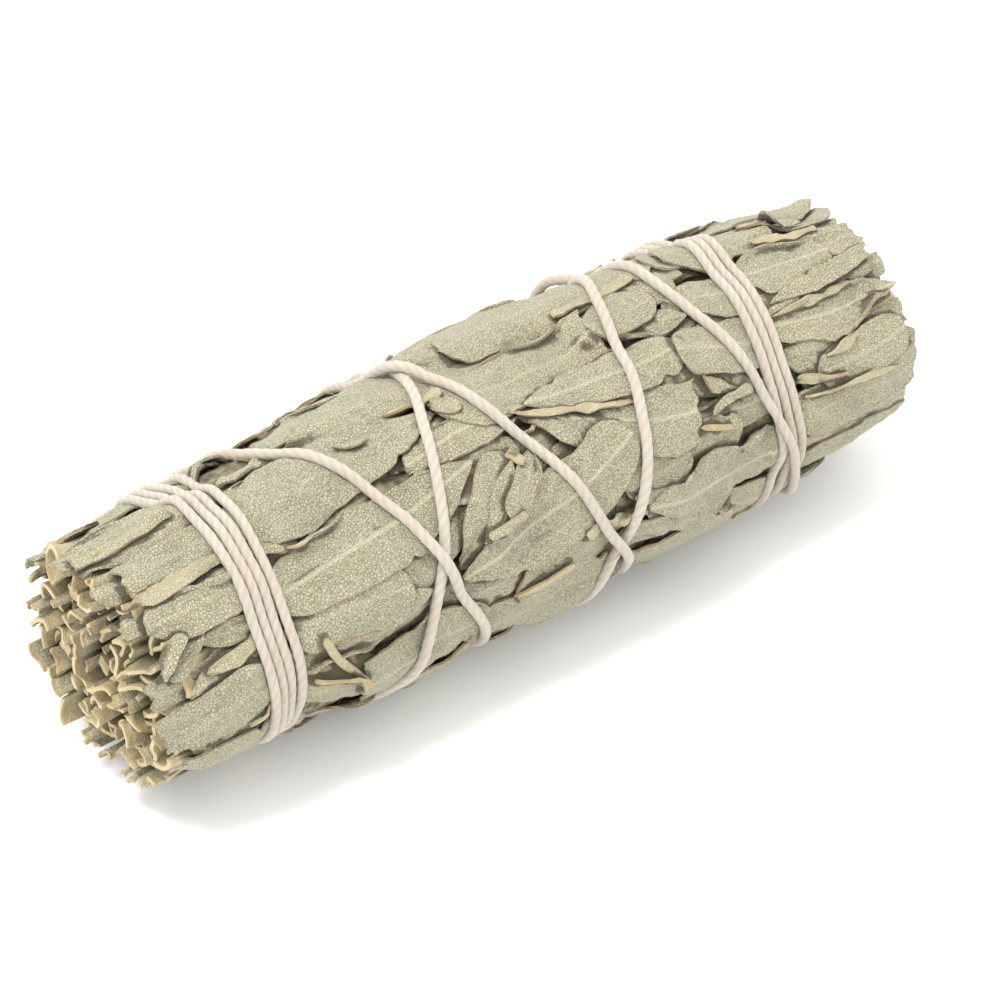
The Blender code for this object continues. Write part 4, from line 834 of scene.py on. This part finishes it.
def leaf_finish():
    add, show = new_finish("felted_sage")
    where = add("TexCoord").outputs["Object"]
    tone, rim, rib, depth = (add("Attribute", attribute_name=mark).outputs["Fac"] for mark in MARKS)
    blade = add("SeparateXYZ", {"Vector": add("UVMap", uv_map="blade").outputs["UV"]})
    aside = worked(add, "ABSOLUTE", blade.outputs[0])
    down = blade.outputs[1]

    patches = noise(add, where, 260.0, 3.0)
    fine = noise(add, where, 4200.0, 2.0)
    swirl = add("TexNoise", {"Vector": where, "Scale": 2600.0}).outputs["Color"]
    warp = add("VectorMath", {0: swirl, "Scale": 0.00022}, operation="SCALE")
    bent = add("VectorMath", {0: where, 1: warp.outputs[0]}, operation="ADD").outputs[0]
    pebble = stepped(add, net(add, bent, PEBBLE_SCALE), 0.0, 0.17)
    mesh_veins = stepped(add, net(add, bent, VEIN_SCALE), 0.09, 0.01)

    colour = colour_mix(add, stepped(add, patches, 0.3, 0.7), SAGE_GREEN, SAGE)
    for low, high, tint in ((-0.4, 1.0, SAGE_WARM), (1.0, 1.9, DRY_TAN), (2.1, 2.9, CUT_TAN)):
        colour = colour_mix(add, stepped(add, tone, low, high), colour, tint)
    felt = stepped(add, tone, 1.5, 0.5)
    # Painted shade: the low lines of the felt's net, between its raised bumps, are darkened
    uneven = worked(add, "ADD", worked(add, "MULTIPLY_ADD", pebble, -0.85, 0.85), -0.4)
    groove_shade = worked(add, "MULTIPLY_ADD", uneven, felt, 0.4)
    colour = colour_mix(add, groove_shade, colour, FELT_GROOVE_SHADE, "MULTIPLY")
    pale = worked(add, "MULTIPLY", stepped(add, fine, 0.45, 0.8), 0.15)
    colour = colour_mix(add, pale, colour, FELT_PALE)

    lines = worked(add, "MULTIPLY", mesh_veins, 0.36)
    ribline = worked(add, "MULTIPLY", stepped(add, aside, 0.34, 0.08), rib)
    slanted = worked(add, "ADD", worked(add, "MULTIPLY", aside, -0.9), down)
    spaced = worked(add, "PINGPONG", slanted, VEIN_APART)
    veins = worked(add, "MULTIPLY", stepped(add, spaced, 0.14, 0.02), rib)
    faint = worked(add, "MULTIPLY", veins, 0.5)
    for share in (lines, worked(add, "MULTIPLY", ribline, 0.8), faint):
        colour = colour_mix(add, share, colour, RIB_PALE)
    dry = stepped(add, patches, 0.4, 0.62)
    edge = worked(add, "MULTIPLY", stepped(add, rim, 0.16, 0.0), dry)
    colour = colour_mix(add, edge, colour, EDGE_TAN)
    # Painted shade: leaves deep in the bunch and the seams under overlying leaf edges are darkened towards
    # near black
    colour = colour_mix(add, stepped(add, depth, 0.9, 2.6), colour, CREVICE_PAINTED_SHADE)

    raised = worked(add, "MULTIPLY", pebble, felt)
    for part in (ribline, faint, lines):
        raised = worked(add, "ADD", part, raised)
    raised = worked(add, "MULTIPLY_ADD", fine, 0.5, raised)
    look = {"Base Color": colour, "Roughness": 0.85, "Specular IOR Level": 0.25}
    look |= {"Sheen Weight": 0.25, "Sheen Roughness": 0.5}
    return show(look, (raised, 1.0, 0.0001))


felted = leaf_finish()


def thick_piece(name, sheets, wall, nodes):
    """Makes a piece of felted sheets, each with its places, its marks and its thickness."""
    form = bmesh.new()
    for sheet in sheets:
        rows, columns = sheet["down"].shape
        add_grid(form, columns - 1, rows - 1)
    piece = new_object(form, name, felted)
    mesh = piece.data
    joined = {key: np.concatenate([sheet[key].ravel() for sheet in sheets]) for key in sheets[0]}
    mesh.vertices.foreach_set("co", joined["place"])
    for key in MARKS:
        marks = mesh.attributes.new(key, "FLOAT", "POINT")
        marks.data.foreach_set("value", joined[key].astype(np.float32))
    corners = np.zeros(len(mesh.loops), np.int32)
    mesh.loops.foreach_get("vertex_index", corners)
    unrolled = np.stack([joined["aside"], joined["down"]], axis=1)[corners]
    mesh.uv_layers.new(name="blade").data.foreach_set("uv", unrolled.astype(np.float32).ravel())
    mesh.update()
    shell = piece.modifiers.new("thickness", "SOLIDIFY")
    shell.thickness = wall * MM
    shell.offset = -1.0
    bpy.context.view_layer.update()
    graph = bpy.context.evaluated_depsgraph_get()
    thick = bpy.data.meshes.new_from_object(piece.evaluated_get(graph))
    piece.modifiers.clear()
    piece.data = thick
    bpy.data.meshes.remove(mesh)
    thick.name = name
    fit(piece, nodes, 55)


def sprig_under(s, angle):
    """Which sprig a place on the bunch belongs to."""
    turned = (angle - FIRST_SEAM - SEAM_TWIST * s) % 360
    return int(turned * SPRIGS / 360) % SPRIGS


brim = grown(reached)
for index in range(SPRIGS):
    mine = [leaf for leaf in laid_leaves if sprig_under(leaf["s"].mean(), leaf["angle"].mean()) == index]
    for leaf in mine:
        radius = leaf["radius"] - read_map(pressed, leaf["s"], leaf["angle"])
        lowest = (AXIS_HEIGHT - 0.4) / np.maximum(np.cos(np.radians(leaf["angle"] - 180)), 0.3)
        radius = np.minimum(radius, lowest)
        # The depth mark is painted shade: how far a leaf lies under the bunch's outline, or below the
        # leaves round it at a seam
        seam_depth = read_map(brim, leaf["s"], leaf["angle"]) - leaf["radius"]
        low = fullness(leaf["s"], leaf["angle"]) - radius
        seam_shade = np.minimum(SEAM_SHADE * (seam_depth - SEAM_LEAST), SEAM_MOST)
        leaf["depth"] = np.maximum(low, seam_shade)
        leaf["place"] = placed(leaf["s"], leaf["angle"], radius)
    thick_piece(f"sprig_{index + 1}_outer_leaves", mine, LEAF_THICK, [f"sprig_{index + 1}_leaves"])

# The cut ends
# At both ends the leaves were cut across or broken off, so the face is a crowd of folded and
# curled leaf edges, pale where they were cut, with dark hollows between them.
FOLD_THICK = 0.42
FOLD_ROOT = 44.5
FOLD_TIP = 50.8
FOLD_FURTHEST = 52.1
FOLD_TRIES = 2600
FOLD_APART = 0.84
FOLD_STEP = 0.42
END_DISC = 13.7
FAR_DISC = 12.2
FOLD_ROWS = (0.0, 0.35, 0.6, 0.78, 0.9, 1.0)


def fold_lines(side, rng):
    """Winding lines over the end of the bunch that keep clear of one another and of the stems."""
    taken = []
    for y, z in stem_places:
        for turn in np.linspace(0, 2 * math.pi, 8, endpoint=False):
            taken.append((y + 0.75 * math.cos(turn), z + 0.75 * math.sin(turn)))
    lines = []
    grain = 700 if side < 0 else 800

    def heading(y, z):
        out = math.hypot(y, z) / END_DISC
        swirl = 2.6 * hills(y, z, 4.2, grain) * (1 - 0.55 * out**3)
        return math.atan2(z, y) + math.pi / 2 + float(swirl)

    for _ in range(FOLD_TRIES):
        turn = rng.uniform(0, 2 * math.pi)
        out = END_DISC * math.sqrt(rng.uniform(0, 1))
        start = np.array([out * math.cos(turn), out * math.sin(turn)])
        others = np.array(taken)
        if np.hypot(*(others - start).T).min() < FOLD_APART:
            continue
        halves = []
        room = int(rng.integers(4, 10))
        curled = rng.uniform(0, 1) < 0.6
        curl = rng.uniform(0.35, 1.15) * rng.choice((-1, 1)) * FOLD_STEP
        if curled:
            room = int(min(room, 2.5 / abs(curl)))
        for way in (1, -1):
            spot = start.copy()
            line = []
            for step in range(room):
                turn = heading(*start) + way * curl * (step + 0.5) if curled else heading(*spot)
                spot = spot + way * FOLD_STEP * np.array([math.cos(turn), math.sin(turn)])
                if np.hypot(*spot) > END_DISC or np.hypot(*(others - spot).T).min() < FOLD_APART * 0.82:
                    break
                line.append(spot.copy())
            halves.append(line)
        line = halves[1][::-1] + [start] + halves[0]
        if len(line) < 4:
            continue
        lines.append(np.array(line))
        taken += [tuple(spot) for spot in line]
    return lines


def folded_leaf(line, side, rng):
    """One leaf on edge along its line, from inside the bunch out to its cut edge."""
    steps = np.gradient(line, axis=0)
    steps /= np.linalg.norm(steps, axis=1)[:, None]
    normal = np.stack([-steps[:, 1], steps[:, 0]], axis=1)
    run = np.arange(len(line)) * FOLD_STEP
    grain = int(rng.integers(1, 90000))
    out = np.hypot(line[:, 0], line[:, 1]) / END_DISC
    tip = FOLD_TIP + rng.uniform(-1.9, 1.2) + 0.7 * hills(run, run, 2.4, grain) - 0.5 * out**2
    tip = np.minimum(tip, FOLD_FURTHEST)
    share = np.array(FOLD_ROWS)[:, None]
    s = side * (FOLD_ROOT + (tip[None, :] - FOLD_ROOT) * share)
    lean = hills(line[:, 0], line[:, 1], 5.0, 77)[None, :] * 0.9 * share
    hook = 0.6 * hills(run, 0 * run, 3.4, grain + 2)[None, :] * np.clip((share - 0.6) / 0.4, 0, 1) ** 2
    crumple = 0.28 * hills(s, run[None, :] + 0 * s, 2.2, grain + 1) * share + hook
    y = line[None, :, 0] + normal[None, :, 0] * (lean + crumple)
    z = line[None, :, 1] + normal[None, :, 1] * (lean + crumple)
    place = np.stack([s, y, z + AXIS_HEIGHT], axis=-1) * MM
    down = np.abs(np.abs(s) - np.abs(tip[None, :]))
    ends = np.minimum(run, run[-1] - run)[None, :]
    # The depth mark paints shade on each fold, darker the further it lies in from its cut edge
    return {
        "place": place, "aside": run[None, :] + 0 * s, "down": down,
        "rim": np.clip(ends + 0.1, 0, 2) + 0 * s, "tone": rng.uniform(0.5, 1.7) + 1.6 * np.exp(-down / 0.3),
        "rib": 0 * s, "depth": down * 0.8 - 0.4,
    }


end_rng = np.random.default_rng(97)
end_folds = {index: [] for index in range(SPRIGS + 1)}
for side in (-1, 1):
    for line in fold_lines(side, end_rng):
        y, z = line.mean(axis=0)
        if side > 0 and math.hypot(y, z) > FAR_DISC:
            continue
        owner = sprig_under(side * HALF_LENGTH, math.degrees(math.atan2(-y, z)))
        if math.hypot(y, z) < INNER_RADIUS:
            owner = SPRIGS
        end_folds[owner].append(folded_leaf(line, side, end_rng))
for index, folds in end_folds.items():
    sprig = "heart_sprig" if index == SPRIGS else f"sprig_{index + 1}"
    thick_piece(f"{sprig}_cut_ends", folds, FOLD_THICK, [f"{sprig}_leaves"])

# The cotton twine
# One length of soft, undyed cotton twine of three plies, about 1.2 mm thick. It makes both bands
# and the crossing turns between them, and its two ends are tucked under the right band.
TWINE_SIDES = 16
PLIES = 3
PLY_LOBE = 0.08
PLY_TURN = 4.2
COTTON = (0.585, 0.523, 0.413)
COTTON_PEACH = (0.555, 0.455, 0.34)
COTTON_PALE = (0.63, 0.59, 0.52)
# Painted shade for the grooves between the plies
COTTON_GROOVE_SHADE = (0.4, 0.31, 0.22)


def twine_finish():
    add, show = new_finish("soft_cotton")
    turns = add("UVMap", uv_map="twine").outputs["UV"]
    where = add("TexCoord").outputs["Object"]
    stretched = add("Mapping", {"Vector": turns, "Scale": (4.0, 17.0, 1.0)})
    stretched.inputs["Rotation"].default_value = (0, 0, math.radians(-32))
    fibres = noise(add, stretched.outputs[0], 1.0, 4.0)
    tint = noise(add, where, 220.0, 2.0)
    groove_shade = add("Attribute", attribute_name="groove_shade").outputs["Fac"]
    colour = colour_mix(add, stepped(add, tint, 0.4, 0.66), COTTON, COTTON_PEACH)
    colour = colour_mix(add, stepped(add, fibres, 0.3, 0.75), colour, COTTON_PALE)
    # Painted shade in the grooves between the plies
    colour = colour_mix(add, worked(add, "MULTIPLY", groove_shade, 0.36), colour, COTTON_GROOVE_SHADE)
    look = {"Base Color": colour, "Roughness": 0.9, "Specular IOR Level": 0.2, "Sheen Weight": 0.4}
    return show(look, (fibres, 0.9, 0.00016))


middle = placed(twine_s, twine_angle, twine_radius) / MM
ahead = np.gradient(middle, axis=0)
ahead /= np.linalg.norm(ahead, axis=1)[:, None]
outward = placed(0 * twine_s, twine_angle, 1.0) / MM - np.array([0, 0, AXIS_HEIGHT])
outward -= ahead * (outward * ahead).sum(axis=1)[:, None]
outward /= np.linalg.norm(outward, axis=1)[:, None]
beside = np.cross(ahead, outward)
steps = np.linalg.norm(np.diff(middle, axis=0), axis=1)
travel = np.concatenate([[0], np.cumsum(steps)])

form = bmesh.new()
add_grid(form, TWINE_SIDES, len(middle) - 1)
around = np.linspace(0, 2 * math.pi, TWINE_SIDES + 1)[None, :]
lobe = np.cos(PLIES * (around - 2 * math.pi * travel[:, None] / PLY_TURN))
girth = twine_wide[:, None] / 2 * (1 - PLY_LOBE / 2 + PLY_LOBE / 2 * lobe)
girth = girth * (1 + 0.03 * hills(travel, 0 * travel, 2.5, 500))[:, None]
ends = np.minimum(travel, travel[-1] - travel)
girth = girth * np.clip(0.35 + ends / 1.2, 0, 1)[:, None]
ring = (
    middle[:, None, :]
    + outward[:, None, :] * (girth * np.cos(around))[:, :, None]
    + beside[:, None, :] * (girth * np.sin(around))[:, :, None]
)
ring[:, :, 2] = np.maximum(ring[:, :, 2], 0.0)
put_at(form, ring.reshape(-1, 3) * MM)
windings = form.loops.layers.uv.new("twine")
# Each point's groove mark: how deep in a groove between the plies it lies, which sets how much shade is
# painted there
groove_shade = form.verts.layers.float.new("groove_shade")
for vert, value in zip(form.verts, ((1 - lobe) / 2).ravel()):
    vert[groove_shade] = float(value) ** 2
form.verts.index_update()
unrolled = np.stack(
    [np.repeat(travel, TWINE_SIDES + 1), np.tile(around.ravel() * 0.75, len(travel))], axis=1
)
for face in form.faces:
    for loop in face.loops:
        loop[windings].uv = unrolled[loop.vert.index]
close_tube(form, 0.001)
cotton = twine_finish()
fit(new_object(form, "cotton_twine_windings", cotton), ["twine"], 80)

# The fuzz of the twine
# Loose cotton fibres stand off the twine all along it, as fine as hair. They are part of the twine.
FUZZ_COUNT = 700
FUZZ_WIDE = 0.032
FUZZ_LONG = (0.5, 1.7)

fuzz_rng = np.random.default_rng(23)
form = bmesh.new()
fuzz_places = []
for _ in range(FUZZ_COUNT):
    spot = int(fuzz_rng.integers(4, len(middle) - 4))
    turn = fuzz_rng.uniform(-1.9, 1.9)
    out = outward[spot] * math.cos(turn) + beside[spot] * math.sin(turn)
    away = out + ahead[spot] * fuzz_rng.normal(0, 0.9) + fuzz_rng.normal(0, 0.35, 3)
    away /= np.linalg.norm(away)
    root = middle[spot] + out * twine_wide[spot] * 0.45
    share = np.linspace(0, 1, 5)[:, None]
    bend = fuzz_rng.normal(0, 0.45, 3) - out * 0.3
    line = root + fuzz_rng.uniform(*FUZZ_LONG) * (away * share + bend * share**2)
    side = np.cross(away, fuzz_rng.normal(0, 1, 3))
    side *= FUZZ_WIDE / 2 / np.linalg.norm(side)
    fibre = np.stack([line - side * (1 - share), line + side * (1 - share)], axis=1)
    fibre[:, :, 2] = np.maximum(fibre[:, :, 2], 0.05)
    add_grid(form, 1, 4)
    fuzz_places.append(fibre.reshape(-1, 3) * MM)
put_at(form, np.concatenate(fuzz_places))
fit(new_object(form, "cotton_twine_fuzz", cotton), ["twine"])

# The studio floor, the light and the camera
# The bunch lies on a plain white floor, under soft light from behind its left, and is seen from
# above its near left end.
FLOOR_SIZE = 3.0
FLOOR_WHITE = (0.92, 0.92, 0.92, 1)
FLOOR_GLOW = 0.06
ROOM_LIGHT = 1.45
WINDOW_PLACE = (-0.34, 0.07, 0.92)
WINDOW_SIZE = 0.3
WINDOW_POWER = 5.8
WINDOW_TINT = (1.0, 0.99, 0.97)
CAMERA_LENS = 166.3
CAMERA_TURN = math.radians(-38.3)
CAMERA_RISE = math.radians(38.8)
CAMERA_AWAY = 0.5
AIM = np.array([-0.0008, -0.0042, 0.016])

add, show = new_finish("white_paper")
white = show({
    "Base Color": FLOOR_WHITE, "Roughness": 0.9,
    "Emission Color": (1, 1, 1, 1), "Emission Strength": FLOOR_GLOW,
})
form = bmesh.new()
bmesh.ops.create_grid(form, x_segments=1, y_segments=1, size=FLOOR_SIZE)
new_object(form, "studio_floor", white)

world = bpy.data.worlds.new("soft_white_room")
bpy.context.scene.world = world
world.use_nodes = True
world.node_tree.nodes["Background"].inputs["Color"].default_value = (1.0, 1.0, 1.0, 1)
world.node_tree.nodes["Background"].inputs["Strength"].default_value = ROOM_LIGHT

lamp = bpy.data.lights.new("window_behind_left", "AREA")
lamp.size = WINDOW_SIZE
lamp.energy = WINDOW_POWER
lamp.color = WINDOW_TINT
window = set_out("window_behind_left", lamp)
window.location = WINDOW_PLACE
away = np.array(WINDOW_PLACE) - AIM
window.rotation_euler = (
    math.acos(away[2] / np.linalg.norm(away)), 0.0, math.atan2(away[1], away[0]) + math.pi / 2
)

camera = bpy.data.cameras.new("photo_view")
camera.lens = CAMERA_LENS
camera.sensor_width = 36.0
view = set_out("photo_view", camera)
away = np.array([
    math.sin(CAMERA_TURN) * math.cos(CAMERA_RISE),
    -math.cos(CAMERA_TURN) * math.cos(CAMERA_RISE),
    math.sin(CAMERA_RISE),
])
view.location = AIM + CAMERA_AWAY * away
view.rotation_euler = (math.pi / 2 - CAMERA_RISE, 0.0, CAMERA_TURN)
bpy.context.scene.camera = view
bpy.context.scene.view_settings.view_transform = "Standard"

bpy.context.view_layer.update()
